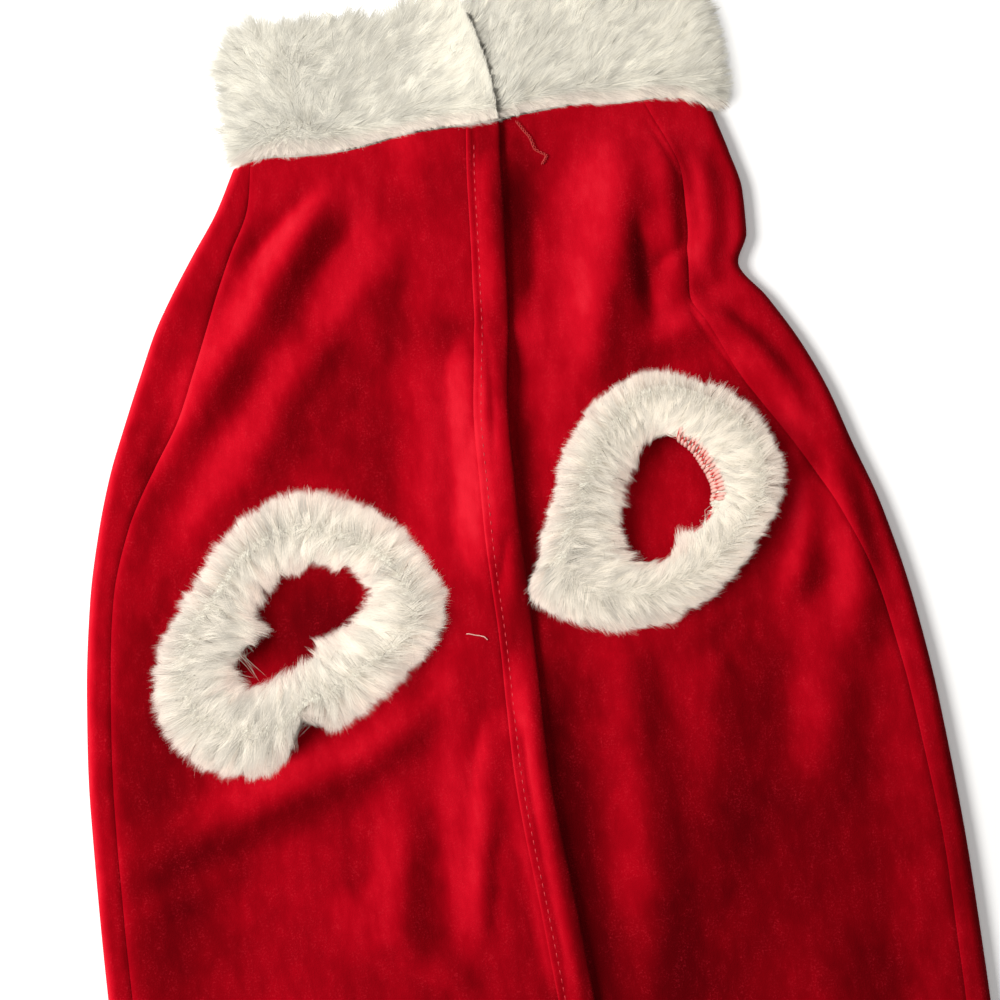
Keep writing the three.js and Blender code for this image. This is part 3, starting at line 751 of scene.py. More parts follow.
def cut_leg_hole(points, quads, cuff):
    """Drops the squares inside a leg hole and brings the points round it onto its edge."""
    away, angle = round_centre(cuff, points[:, 0], points[:, 1])
    limit = cuff_radius(cuff, HOLE, angle) + SEAM_IN
    inside = away < limit
    quads = quads[~inside[quads].all(axis=1)]
    points[inside, :2] = np.stack(from_centre(cuff, limit, angle), axis=1)[inside]
    return points, quads


def front_panel(side):
    if side == "left":
        start = lambda down: left_seam(down) + SEAM_GAP / 2
        end = lambda down: edge(down) - PLACKET - SEAM_GAP / 2
    else:
        start = lambda down: under_edge(down) + PLACKET + SEAM_GAP / 2
        end = lambda down: right_seam(down) - SEAM_GAP / 2
    grid = layer_grid(side, start, end, PANEL_COLUMNS)
    facing = grid_facing(grid).reshape(-1, 3)
    down = NECK_Y - grid[..., 1].ravel()
    thickness = mix(CLOTH, TURNED_CLOTH, ramp(down, LENGTH - HEM - 1.5, LENGTH - HEM))
    points, quads = cut_leg_hole(grid.reshape(-1, 3), grid_quads(*grid.shape[:2]), CUFFS[side])
    points, faces = wall(points, facing, quads, thickness)
    obj = piece("front_" + side, points, faces, VELOUR, "front_panel_" + side)


def placket(side):
    if side == "left":
        start, end = (lambda down: edge(down) - PLACKET + SEAM_GAP / 2), edge
    else:
        start, end = under_edge, (lambda down: under_edge(down) + PLACKET - SEAM_GAP / 2)
    grid = layer_grid(side, start, end, PLACKET_COLUMNS)
    facing = grid_facing(grid).reshape(-1, 3)
    points, faces = wall(grid.reshape(-1, 3), facing, grid_quads(*grid.shape[:2]), TURNED_CLOTH)
    obj = piece("placket_edge_" + side, points, faces, VELOUR, "placket_" + side)


def back():
    """The back panel: over the left fold, across the table and over the right fold."""
    down = np.linspace(0, 1, ROWS)[:, None] * LENGTH
    inner_left = lambda down: left(down) + CLOTH / 2 + SIDE_RADIUS
    inner_right = lambda down: right(down) - CLOTH / 2 - SIDE_RADIUS
    x = mix(inner_left(down), inner_right(down), np.linspace(0, 1, BACK_FLAT + 1)[None])
    y = np.broadcast_to(NECK_Y - down, x.shape)

    def turn(x, start):
        a = start + np.pi * np.arange(1, BACK_TURN)[None] / BACK_TURN
        x, z = np.broadcast_arrays(x + SIDE_RADIUS * np.cos(a), CLOTH / 2 + SIDE_RADIUS * (1 + np.sin(a)))
        return np.stack([x, np.broadcast_to(NECK_Y - down, x.shape), z], axis=-1)

    grid = np.concatenate([
        layer_grid("left", lambda down: left_seam(down) - SEAM_GAP / 2, inner_left, BACK_TOP),
        turn(inner_left(down), np.pi / 2),
        np.stack([x, y, np.full(x.shape, CLOTH / 2)], axis=-1),
        turn(inner_right(down), -np.pi / 2),
        layer_grid("right", inner_right, lambda down: right_seam(down) + SEAM_GAP / 2, BACK_TOP),
    ], axis=1)
    facing = -grid_facing(grid).reshape(-1, 3)
    quads = grid_quads(*grid.shape[:2])[:, ::-1]
    points, faces = wall(grid.reshape(-1, 3), facing, quads, CLOTH)
    points[:, 2] = np.maximum(points[:, 2], 0)
    obj = piece("back", points, faces, VELOUR, "back_panel")


# ---------------------------------------------------------------- fur

class Skin:
    """A surface of loops that strands grow from. Its points run along the band, then round its profile."""

    def __init__(self, points, closed_along):
        self.points = points
        ahead = np.roll(points, -1, axis=0) - np.roll(points, 1, axis=0)
        if not closed_along:
            ahead = np.gradient(points, axis=0)
        self.along = unit(ahead)
        round_it = np.roll(points, -1, axis=1) - np.roll(points, 1, axis=1)
        self.round = unit(round_it)
        self.facing = unit(np.cross(round_it, ahead))
        self.closed_along = closed_along

    def mesh(self):
        rows, columns = self.points.shape[:2]
        i = np.arange(rows if self.closed_along else rows - 1)[:, None]
        j = np.arange(columns)[None]
        at = lambda a, b: ((i + a) % rows) * columns + (j + b) % columns
        faces = np.stack([at(0, 0), at(0, 1), at(1, 1), at(1, 0)], axis=-1).reshape(-1, 4)
        points = self.points.reshape(-1, 3)
        if not self.closed_along:
            ends = []
            for row, flip in ((0, 1), (rows - 1, -1)):
                loop = row * columns + np.arange(columns)[::flip]
                half = columns // 2
                k = np.arange(half - 1)
                ends.append(np.stack([loop[k], loop[k + 1], loop[-k - 2], loop[-k - 1]], axis=1)[:, ::-1])
            faces = np.concatenate([faces, *ends])
        return points, faces

    def scatter(self, count, rng, keep):
        """Random places over the surface where keep, a share for each point, lets strands grow."""
        p = self.points
        rows, columns = p.shape[:2]
        last = rows if self.closed_along else rows - 1
        i, j = (a.ravel() for a in np.mgrid[0:last, 0:columns])
        i1, j1 = (i + 1) % rows, (j + 1) % columns
        area = np.linalg.norm(np.cross(p[i1, j] - p[i, j], p[i, j1] - p[i, j]), axis=1)
        weight = area * keep[i, j]
        pick = rng.choice(len(i), count, p=weight / weight.sum())
        s, t = rng.random((2, count, 1))
        i, j, i1, j1 = i[pick], j[pick], i1[pick], j1[pick]

        def at(field):
            field = field if field.ndim == 3 else field[..., None]
            low = mix(field[i, j], field[i1, j], s)
            return mix(low, mix(field[i, j1], field[i1, j1], s), t)

        return at


STRAND_WIDTH = 0.13
SPREAD = 0.15  # how far the strands lean from the way they are brushed
DROOP = 0.15
UNEVEN_LENGTH = (0.12, 0.1)  # from strand to strand and from tuft to tuft
TONE = (0.55, 0.27, 0.2)  # in the middle, and how it spreads from tuft to tuft and from strand to strand
PULL, CLUMP = 0.42, 2.0  # how strongly a tuft draws its strands in, and from how far it does so fully
SOFTNESS = 0.72  # how evenly the coat is lit, whichever way its strands stand
STRAND_FACES = ((0, 1, 3), (0, 3, 2), (2, 3, 4))
ALONG = (0, 0, 0.5, 0.5, 1)  # where the five points of a strand are, from root to tip
RED_LIGHT_ALONG = (0.4, 0.4, 0.8, 0.8, 1)


def tufts(root, tuft_size, rng):
    """The strand that each strand gathers round."""
    seeds = rng.choice(len(root), int(len(root) / tuft_size), replace=False)
    tree = KDTree(len(seeds))
    for k, seed in enumerate(seeds):
        tree.insert(root[seed], k)
    tree.balance()
    return seeds[np.array([tree.find(p)[1] for p in root])]


def strand_lines(root, facing, flow, length, rise, tuft, rng):
    """Three points of each strand, which starts along facing, bends into flow and leans to its tuft."""
    count = len(root)
    shared = rng.normal(0, SPREAD, (count, 3))[tuft]
    own = rng.normal(0, SPREAD * 0.55, (count, 3))
    low, high = rise
    start = unit(facing * low + flow * (1 - low) + (shared + own) * 0.7)
    end = unit(facing * high + flow * (1 - high) + shared + own - np.array([0, 0, DROOP]))
    own_length = 1 + UNEVEN_LENGTH[0] * rng.normal(size=count)
    tuft_length = 1 + UNEVEN_LENGTH[1] * rng.normal(size=count)[tuft]
    step = (length * own_length * tuft_length)[:, None] / 2
    line = [root]
    for part in (0.3, 0.9):
        line.append(line[-1] + step * unit(mix(start, end, part)))
    line = np.stack(line, axis=1)
    goal = line[tuft]
    share = np.array([0, 0.45, 1.0])[None, :, None] * PULL * (0.6 + 0.8 * rng.random(count))[:, None, None]
    reach = np.clip(CLUMP / np.maximum(np.linalg.norm(goal[:, 2] - line[:, 2], axis=1), CLUMP), 0, 1)
    return line + (goal - line) * share * reach[:, None, None]


def keep_between(line, floor, ceiling, rng):
    """Bends strands down under a ceiling, with a little play, and up above a floor."""
    root = line[:, 0].copy()
    room = np.maximum(ceiling + 0.6 * rng.normal(size=len(line)) - root[:, 2], 0.4)
    lift = np.maximum(line[..., 2].max(axis=1) - root[:, 2], 0.01)
    line[..., 2] = root[:, None, 2] + (line[..., 2] - root[:, None, 2]) * np.minimum(1, room / lift)[:, None]
    least = floor(line[..., 0], line[..., 1]) + 0.25
    line[:, 1:, 2] = np.maximum(line[:, 1:, 2], least[:, 1:] * np.array([0.8, 1]))
    return line


def ribbons(line, rng):
    """Tapering ribbons along the strands: five points and three triangles each."""
    count = len(line)
    ahead = unit(np.gradient(line, axis=1))
    over = np.array([0, 0, 1]) + 0.4 * rng.normal(size=(count, 3))
    side = unit(np.cross(ahead, over[:, None]))
    half = STRAND_WIDTH / 2 * (0.75 + 0.5 * rng.random(count))[:, None]
    points = []
    for k, share_of_width in enumerate((1.0, 0.85)):
        offset = side[:, k] * half * share_of_width
        points += [line[:, k] - offset, line[:, k] + offset]
    points.append(line[:, 2])
    faces = np.arange(count)[:, None, None] * len(points) + np.array(STRAND_FACES)
    return np.stack(points, axis=1).reshape(-1, 3), faces.reshape(-1, 3)


def strands(name, root, facing, flow, length, rng, material, rise, ceiling, shorten, floor, tuft_size, glow,
            painted_red_light):
    """Fur on the given roots. shorten, floor and the painted red light are worked out for the strands' own
    places.
    """
    count = len(root)
    tuft = tufts(root, tuft_size, rng)
    line = strand_lines(root, facing, flow, length, rise, tuft, rng)
    line = root[:, None] + (line - root[:, None]) * shorten(line, rng)[:, None, None]
    line = keep_between(line, floor, ceiling, rng)
    points, faces = ribbons(line, rng)
    obj = piece(name, points, faces, material)
    obj.visible_shadow = False
    soft = unit(SOFTNESS * np.array([0, 0, 1]) + (1 - SOFTNESS) * facing)
    obj.data.normals_split_custom_set_from_vertices(np.repeat(soft, len(ALONG), axis=0))
    # glow adds painted highlights and shade to the random tones; along sets the painted shade at the roots
    middle, of_tuft, own = TONE
    tone = middle + of_tuft * rng.normal(size=count)[tuft] + own * rng.normal(size=count) + glow
    set_field(obj, "along", np.tile(ALONG, count))
    set_field(obj, "tone", np.repeat(np.clip(tone, 0, MOST_TONE), len(ALONG)))
    # painted red light from the cloth, growing towards the tips
    set_field(obj, "painted_red_light", np.repeat(painted_red_light(line), len(ALONG)) * np.tile(RED_LIGHT_ALONG, count))


def smooth_line(values, passes):
    """Softens the corners of a line of points, leaving its ends."""
    for _ in range(passes):
        values[1:-1] = (values[:-2] + 2 * values[1:-1] + values[2:]) / 4
    return values


# The neck band ------------------------------------------------------------------------------------------

UNDERFUR = 0.62  # how much of the pile's depth the underfur fills
COLLAR_FINE = 3  # steps of the skin for each step of the solid
COLLAR_PROFILE = 26  # points up each face of the band
ON_FRONTS = (5.1, 5.7)  # between these heights the band passes from the back to the fronts
LEFT_FOLD, RIGHT_FOLD = 6, 11  # the rows of COLLAR where the band turns under and where it comes up again
RIGHT_FROM = 6.0  # the right half has pile from here on, under the left half's free end
PARTING = -56.0  # the left half's pile lies away from here
COLLAR_TOP = 21.0
COLLAR_RISE = (0.55, 0.25)  # how steeply the strands start and end
COLLAR_TUFT = 22
COLLAR_RED_LIGHT = (0.09, 3.0)  # painted red light from the cloth: how much at the neck seam, and how far up


def collar_stations():
    """The band's inner path, its outer path and its lean, at each station along it."""
    rows = [np.array([*inner, *outer, lean], float) for _, inner, outer, lean in COLLAR]
    stations = []
    for (steps, *_), here, there in zip(COLLAR, rows, rows[1:]):
        count = steps * COLLAR_FINE
        stations += [mix(here, there, k / count) for k in range(count)]
    stations = np.array(stations + rows[-1:])
    return smooth_line(stations[:, :2], 3), smooth_line(stations[:, 2:4], 3), stations[:, 4]


def collar_skin():
    inner, outer, lean = collar_stations()
    on_top = ramp(inner[:, 1], *ON_FRONTS)[:, None]
    y0 = NECK_Y + SEAM_GAP + neck_rise(inner[:, :1]) * on_top
    height = COLLAR_HEIGHT - SEAM_GAP + free_edge(inner[:, :1])
    up = np.linspace(0.02, 0.88, COLLAR_PROFILE)
    out = np.interp(up, [u for u, _ in PILE], [o for _, o in PILE]) * UNDERFUR
    out = out * np.clip(np.minimum(up + 0.03, 0.93 - up) * 12, 0.5, 1)
    up = np.concatenate([up, up[::-1]])
    out = np.concatenate([out, np.zeros(COLLAR_PROFILE)])
    x = mix(inner[:, :1], outer[:, :1], out[None]) - lean[:, None] * up[None] ** 2
    z = mix(inner[:, 1:], outer[:, 1:], out[None])
    y = y0 + height * up[None]
    return Skin(np.stack([x, y, z], axis=-1), False), inner, up


def collar_flow(x, up, side):
    """Which way the pile lies on the top of the band, across and towards the free edge."""
    if side == "left":
        at_end = ramp(x, 0, 14)
        across = 0.8 * np.tanh((x - PARTING) / 26) * (1 - 0.85 * at_end)
        rise = 0.55 * ramp(np.abs(x - PARTING), 4, 30) + 0.35 * ramp(up, 0.5, 1) + 0.3 * at_end
    else:
        across = 0.75 + 0.2 * ramp(x, 85, 104)
        rise = 0.55 + 0.3 * ramp(up, 0.7, 1) - 0.2 * ramp(-up, -0.2, -0.05) - 0.4 * ramp(x, 88, 104)
    rise = mix(rise, -0.8, 1 - ramp(up, 0.04, 0.16))
    swirl = 0.28 * grain(x, up * COLLAR_HEIGHT, 14, 3)
    return np.stack([across + swirl, rise - swirl, np.zeros_like(x)], axis=-1)


def collar_end(y):
    """How far across the free end of the band reaches on the left front, where it lies on the right half."""
    up = np.clip((y - NECK_Y - neck_rise(COLLAR[0][1][0])) / COLLAR_HEIGHT, 0, 1)
    return COLLAR[0][1][0] - COLLAR[0][3] * up**2


def collar_lie(side, root, facing, height):
    """Which way the pile lies all round. The right half's stands up beside the left half's free end."""
    if side == "back":
        flow = np.stack([0 * height, np.where(height > 0.5, 1.0, -0.6), 0 * height], axis=1)
        flow[:, 0] = 0.8 * ramp(np.abs(root[:, 0] - 12), 78, 92) * np.sign(root[:, 0])
    else:
        flow = collar_flow(root[:, 0], height, side)
        over_side = ramp(-facing[:, 2], -0.7, 0.3)[:, None]
        flow = mix(flow, np.array([0.4 * (1 if side == "right" else -1), 0.35, -0.5]), over_side)
    flow = flow / np.maximum(np.linalg.norm(flow, axis=1, keepdims=True), 1)
    if side == "right":
        past_end = root[:, 0] - collar_end(root[:, 1])
        flow[:, 2] += 1.1 * np.exp(-(((past_end - 3) / 5) ** 2)) * (past_end > -1)
    return flow


def collar_length(length, root, height):
    """The pile is shorter at the side folds, and uneven along the left half's free edge."""
    by_left_fold = 0.3 * ramp(-root[:, 0], 64, 76) * ramp(-height, -0.7, -0.45)
    at_side = 0.35 * ramp(root[:, 0], 88, 98) + by_left_fold
    uneven = grain(root[:, 0], 0 * height, 3.4, 3)
    tufted = 0.4 * ramp(height, 0.72, 0.9) * uneven * ramp(-root[:, 0], 5, 25)
    return length * (1 + tufted) * (1 - at_side)


def collar_glow(side, root, height):
    """The pile's tone: paler at the left half's end, with painted shade at the right fold and a painted
    shadow of that end.
    """
    glow = 0.1 + 0.16 * grain(root[:, 0], root[:, 1], 16, 7)
    if side == "left":
        glow = glow - 0.17 + 0.42 * ramp(root[:, 0], -16, 4)
    if side == "right":
        past_end = root[:, 0] - collar_end(root[:, 1])
        # painted shadow of the left half's free end, and painted shade where the band turns under at the
        # right fold
        in_shade = np.exp(-((np.maximum(past_end, 0) / 1.1) ** 2)) * ramp(-height, -0.95, -0.7)
        glow = glow - 0.4 * in_shade - 0.3 * ramp(root[:, 0], 84, 100)
    return glow


def collar_floor(side, x, y):
    """The top of what lies under the band: cloth near the neck seam of the fronts, else the table."""
    if side == "back":
        return 0 * x
    return np.where(y < NECK_Y + NECK_RISE, cloth_top(x, y), 0)


def collar_red_light(line):
    """Painted red light on a strand, from the cloth shining through: more where its tip is near the neck
    seam.
    """
    most, reach = COLLAR_RED_LIGHT
    return most * ramp(NECK_Y + neck_rise(line[:, 2, 0]) + reach - line[:, 2, 1], 0, reach)


def collar_fit(side, line, rng):
    """How much shorter a strand gets so that the pile ends just past the neck seam and the free end."""
    uneven = rng.normal(size=len(line))
    seam = NECK_Y + SEAM_GAP + neck_rise(line[:, -1, 0]) - 0.6 + 0.35 * uneven
    below = line[:, 0, 1] - line[:, -1, 1]
    fit = np.where(line[:, -1, 1] < seam, (line[:, 0, 1] - seam) / np.maximum(below, 0.01), 1)
    if side == "left":
        end = collar_end(line[:, -1, 1]) + 0.6 + 0.3 * uneven
        past = (end - line[:, 0, 0]) / np.maximum(line[:, -1, 0] - line[:, 0, 0], 0.01)
        fit = np.where(line[:, -1, 0] > end, np.minimum(fit, past), fit)
    return np.clip(fit, 0.12, 1)


def collar():
    skin, inner, up = collar_skin()
    points, faces = skin.mesh()
    core = piece("neck_band", points, faces, SHADED_UNDERFUR, "fur_collar")
    station = np.arange(len(inner))
    left_fold, right_fold = (sum(row[0] for row in COLLAR[:k]) * COLLAR_FINE for k in (LEFT_FOLD, RIGHT_FOLD))
    stretches = [
        ("left", station < left_fold, 54000, 10.0),
        ("back", (station >= left_fold) & (station < right_fold), 9000, 8.0),
        ("right", (station >= right_fold) & (inner[:, 0] > RIGHT_FROM), 54000, 10.0),
    ]
    outer_face = np.arange(2 * COLLAR_PROFILE) < COLLAR_PROFILE
    rng = np.random.default_rng(21)
    for side, chosen, count, length in stretches:
        keep = (chosen[:, None] & outer_face[None]).astype(float)
        if side == "back":
            rim = (np.abs(up[None] - 0.5) > 0.36) | (skin.facing[..., 2] > -0.6)
            keep = keep * np.where(rim, 1, 0.02)
        at = skin.scatter(count, rng, keep)
        root, facing = at(skin.points), unit(at(skin.facing))
        facing[:, 1] = np.maximum(facing[:, 1], -0.12)
        height = at(np.broadcast_to(up, keep.shape))[:, 0]
        shorten = lambda line, rng: collar_fit(side, line, rng)
        floor = lambda x, y: collar_floor(side, x, y)
        strands("neck_fur_" + side, root, facing, collar_lie(side, root, facing, height),
                collar_length(length, root, height), rng, FUR, COLLAR_RISE, COLLAR_TOP, shorten, floor,
                COLLAR_TUFT, collar_glow(side, root, height), collar_red_light)


# The leg cuffs ------------------------------------------------------------------------------------------

CUFF_STEPS = 150  # points round a cuff
CUFF_ROUND = 40  # and round its section
CUFF_LEVEL = CUFF_BASE + CLOTH / 2 + SEAM_GAP
CUFF_PARTED = 0.8  # the direction, in radians, that the first of a cuff's two pieces of pile faces
CUFF_RED_LIGHT = 0.13  # painted red light from the cloth at the pile's edges
TIPS = ((2.2, 1.7), (5.5, 1.1))  # size and depth of the tufts that the pile ends in along an edge
LADDER_FROM, LADDER_TO = -16.0, 70.0  # the stretch of the right hole where the overlocking shows, in degrees
LADDER_OUT = 0.3  # how far up the inner wall it reaches


def at_ladder(angle):
    """1 where the overlocking shows at the foot of the right cuff's inner wall, 0 elsewhere."""
    middle, half = (LADDER_FROM + LADDER_TO) / 2, (LADDER_TO - LADDER_FROM) / 2
    away = np.abs(np.mod(np.degrees(angle) - middle + 540, 360) - 180)
    return 1 - ramp(away, half - 4, half + 4)


def cuff_skin(side):
    """The underfur of a cuff, with the angle and the place in its outline of each point."""
    cuff = CUFFS[side]
    angle = np.linspace(0, 2 * np.pi, CUFF_STEPS, endpoint=False)[:, None]
    profile = np.array(CUFF_PROFILE + CUFF_PROFILE[:1], float)
    t = np.linspace(0, len(CUFF_PROFILE), CUFF_ROUND, endpoint=False)
    out, up = (np.interp(t, np.arange(len(profile)), profile[:, k]) for k in (0, 1))
    for _ in range(2):
        out, up = ((np.roll(v, 1) + 2 * v + np.roll(v, -1)) / 4 for v in (out, up))
    hole, crest, outer = (cuff_radius(cuff, k, angle) for k in (HOLE, CREST, OUTER))
    inset_in, inset_out, inset_top = cuff["underfur"]
    if side == "right":
        inset_in = mix(inset_in, 0.3, at_ladder(angle))
    half = np.where(out < 1, crest - hole, outer - crest)
    r = crest + (out - 1) * np.maximum(half - np.where(out < 1, inset_in, inset_out), 0.3 * half)
    x, y = from_centre(cuff, r, angle)
    base = HEIGHT[side](x, NECK_Y - y) + CLOTH / 2 + SEAM_GAP
    height = cuff["height"] - inset_top
    z = np.maximum(CUFF_LEVEL + height * up, base + 0.4 * height * up)
    angle, out, up = (np.broadcast_to(v, r.shape) for v in (angle, out, up))
    return Skin(np.stack([x, y, z], axis=-1), True), angle, out, up


def cuff_cover(side, skin, angle, out, up):
    """How densely the pile grows: most on the crest, less at the join, none beneath and at the ladder."""
    cover = np.where((up > 0.03) | (out > 1.8), 1.0, 0.0) * np.where(skin.facing[..., 2] < -0.55, 0.15, 1)
    cover = cover * (1 + 0.5 * np.exp(-(((out - 1.05) / 0.35) ** 2)) * (up > 0.5))
    if side == "right":
        cover = cover * (1 - at_ladder(angle) * (out < LADDER_OUT))
    at, depth, _ = CUFFS[side]["join"]
    from_join = (np.degrees(angle) - at + 540) % 360 - 180
    return cover * (1 - depth / 20 * np.exp(-((from_join / 5) ** 2)))


def cuff_fit(cuff, line, rng):
    """How much shorter a strand gets so that the pile ends evenly at the outer edge and over the hole."""
    r, angle = round_centre(cuff, line[..., 0], line[..., 1])
    angle = np.mod(angle[:, -1], 2 * np.pi)
    x, y = line[:, 0, 0], line[:, 0, 1]
    uneven = 0.4 * rng.normal(size=len(line)) + 1.6 * (rng.random(len(line)) > 0.9)
    for layer, (size, depth) in enumerate(TIPS):
        uneven = uneven + depth * grain(x, y, size, 6 + layer)
    fringe = np.interp(angle, np.linspace(0, 2 * np.pi, 13), np.append(cuff["fringe"], cuff["fringe"][0]))
    outer = cuff_radius(cuff, OUTER, angle) - 0.6 + uneven
    hole = cuff_radius(cuff, HOLE, angle) - fringe + mix(0.3, 1.9, ramp(fringe, -2, 1.8)) * uneven
    outward, inward = r[:, -1] - r[:, 0], r[:, 0] - r[:, -1]
    fit = np.where(r[:, -1] > outer, (outer - r[:, 0]) / np.maximum(outward, 0.01), 1)
    fit = np.where(r[:, -1] < hole, (r[:, 0] - hole) / np.maximum(inward, 0.01), fit)
    return np.clip(fit, 0.15, 1)


def cuff_red_light(cuff, line):
    """Painted red light on a strand, from the cloth shining through: more where its tip is near the pile's
    edges.
    """
    r, angle = round_centre(cuff, line[:, 2, 0], line[:, 2, 1])
    from_outer, from_hole = cuff_radius(cuff, OUTER, angle) - r, r - cuff_radius(cuff, HOLE, angle)
    return CUFF_RED_LIGHT * ramp(-np.minimum(from_outer, from_hole * 1.6 + 1), -3.5, 0.5)


def cuff_floor(cuff, x, y):
    """The top of what lies under a cuff's pile: the cloth, or the table in the leg hole."""
    away, angle = round_centre(cuff, x, y)
    return np.where(away < cuff_radius(cuff, HOLE, angle) + SEAM_IN, 0.0, cloth_top(x, y))


def leg_cuff(side, count, swirl, seed):
    cuff = CUFFS[side]
    skin, angle, out, up = cuff_skin(side)
    points, faces = skin.mesh()
    core = piece("leg_cuff_" + side, points, faces, SHADED_UNDERFUR, "fur_cuff_" + side)
    rng = np.random.default_rng(seed)
    cover = cuff_cover(side, skin, angle, out, up)
    inner = 1 - ramp(out, 0.55, 1.5)
    shorten = lambda line, rng: cuff_fit(cuff, line, rng)
    floor = lambda x, y: cuff_floor(cuff, x, y)
    # painted red light at the pile's edges
    painted_red_light = lambda line: cuff_red_light(cuff, line)
    names = []
    for tag, part in (("a", np.cos(angle - CUFF_PARTED) >= 0), ("b", np.cos(angle - CUFF_PARTED) < 0)):
        at = skin.scatter(count, rng, cover * part)
        root, facing, inward = at(skin.points), unit(at(skin.facing)), at(inner)[:, 0]
        patches = lambda size, layer: grain(root[:, 0], root[:, 1], size, layer)
        _, theta = round_centre(cuff, root[:, 0], root[:, 1])
        direction = np.sign(0.5 - inward + 0.3 * rng.normal(size=count))[:, None]
        lean = swirl(theta, inward)[:, None] + 0.3 * patches(9, 2)[:, None]
        flow = unit(at(skin.round) * direction + at(skin.along) * lean)
        length = cuff["pile"] * (1 + cuff["ragged"] * inward * patches(3.2, 9))
        # painted highlight along the crest, where the strands stand towards the light
        crest = np.exp(-(((inward - 0.5) / 0.3) ** 2))
        glow = cuff["glow"] + (0.15 + 0.3 * patches(11, 4)) * crest + cuff["paler_right"] * np.cos(theta)
        names.append(f"leg_fur_{side}_{tag}")
        strands(names[-1], root, facing, flow, length, rng, CUFF_FUR_RED_BOUNCE, cuff["rise"],
                CUFF_LEVEL + cuff["height"], shorten, floor, cuff["tuft"], glow, painted_red_light)
    if side == "right":
        ladder_stitches(skin, out[0])


def swirl_left(theta, inward):
    return mix(0.15 * np.sin(theta + 0.6), 0.25, inward)


def swirl_right(theta, inward):
    below = ramp(-np.sin(theta), 0.1, 0.8)
    return mix(1.3 * below - 0.1, 0.35 + 0.6 * below, inward)


# ---------------------------------------------------------------- stitching

THREAD_SIDES = 5


def tube(line, radius):
    """Points and triangles of a round thread along a line, with narrow ends."""
    line, sides = np.asarray(line, float), THREAD_SIDES
    ahead = unit(np.gradient(line, axis=0))
    across = unit(np.cross(ahead, [0.0, 0.05, 1.0]))
    over = np.cross(across, ahead)
    a = 2 * np.pi * np.arange(sides) / sides
    swell = np.full(len(line), radius)
    swell[[0, -1]] *= 0.35
    rings = line[:, None] + swell[:, None, None] * (
        across[:, None] * np.cos(a)[None, :, None] + over[:, None] * np.sin(a)[None, :, None]
    )
    i, j = np.arange(len(line) - 1)[:, None], np.arange(sides)[None]
    at = lambda k, b: (i + k) * sides + (j + b) % sides
    faces = np.stack([at(0, 0), at(0, 1), at(1, 1), at(1, 0)], axis=-1).reshape(-1, 4)
    points = np.concatenate([rings.reshape(-1, 3), line[:1], line[-1:]])
    first, last = len(points) - 2, len(points) - 1
    k = np.arange(sides)
    tail = (len(line) - 1) * sides
    first_cap = np.stack([(k + 1) % sides, k, np.full(sides, first)], axis=1)
    last_cap = np.stack([tail + k, tail + (k + 1) % sides, np.full(sides, last)], axis=1)
    return points, np.concatenate([faces[:, [0, 1, 2]], faces[:, [0, 2, 3]], first_cap, last_cap])


def threads(name, lines, radius, material):
    """Many short threads as one piece."""
    points, faces, count = [], [], 0
    for line in lines:
        p, f = tube(line, radius)
        points.append(p)
        faces.append(f + count)
        count += len(p)
    piece(name, np.concatenate(points), np.concatenate(faces), material)


STITCH_PITCH, STITCH_LENGTH = 3.1, 2.5
STITCH_ARCH = (-0.35, 0.05, 0.14, 0.05, -0.35)  # how high a stitch stands off the cloth, from end to end
HEM_STITCH_IN = 1.2  # from the hem's upper edge to its stitching


def stitched(place, total):
    """Stitches along a line: place gives the cloth's surface at a distance along it."""
    lines = []
    for start in np.arange(2.0, total - STITCH_LENGTH, STITCH_PITCH):
        line = place(start + np.linspace(0, STITCH_LENGTH, len(STITCH_ARCH)))
        line[:, 2] += np.array(STITCH_ARCH)
        lines.append(line)
    return lines


def placket_place(down):
    return cloth_points("left", edge(down) - STITCH_IN, down, TURNED_CLOTH / 2)


def hem_place(side):
    def place(along):
        down = np.full_like(along, LENGTH - HEM + HEM_STITCH_IN)
        start = left_seam(down) + 1 if side == "left" else edge(down) + 0.5
        return cloth_points(side, start + along, down, TURNED_CLOTH / 2)

    return place


LADDER_PITCH = 4.1  # degrees from one loop to the next
LADDER_STANDS = 0.35  # how far the loops' middle line is off the wall


def ladder_stitches(skin, out):
    """The overlocking at the foot of the right cuff's inner wall: two uneven rows of short loops."""
    foot = int(np.argmin(out[: CUFF_ROUND // 2]))
    head = foot + int(np.argmin(np.abs(out[foot: CUFF_ROUND // 2] - LADDER_OUT)))
    surface = skin.points[:, foot:head + 1] + LADDER_STANDS * skin.facing[:, foot:head + 1]
    rng = np.random.default_rng(8)
    up = np.arange(head + 1 - foot)

    def loop(angle, low, high, slant):
        """A loop between two shares of the strip's height, from one angle to another."""
        row, share = divmod((angle + slant * np.linspace(0, 1, 4)) * CUFF_STEPS / 360, 1)
        places = []
        for k, (r, s) in enumerate(zip(row.astype(int), share)):
            across = mix(surface[r % CUFF_STEPS], surface[(r + 1) % CUFF_STEPS], s)
            level = mix(low, high, k / 3) * (head - foot)
            places.append([np.interp(level, up, across[:, c]) for c in range(3)])
        return np.array(places)

    pale, red = [], []
    for angle in np.arange(LADDER_FROM + 7, LADDER_TO - 3, LADDER_PITCH):
        angle = angle + 0.5 * rng.normal()
        pale.append(loop(angle, 0.02, 0.46 + 0.06 * rng.normal(), 2.2))
        pale.append(loop(angle + 1, 0.52 + 0.04 * rng.normal(), 0.98, 1.6))
        red.append(loop(angle + 2.1, 0.0, 0.9 + 0.06 * rng.normal(), 1.2))
    threads("overlock_rungs", pale, 0.8, PALE_THREAD)
    threads("overlock_loops", red, 0.42, TAIL_THREAD)


CURL_STEPS = 90


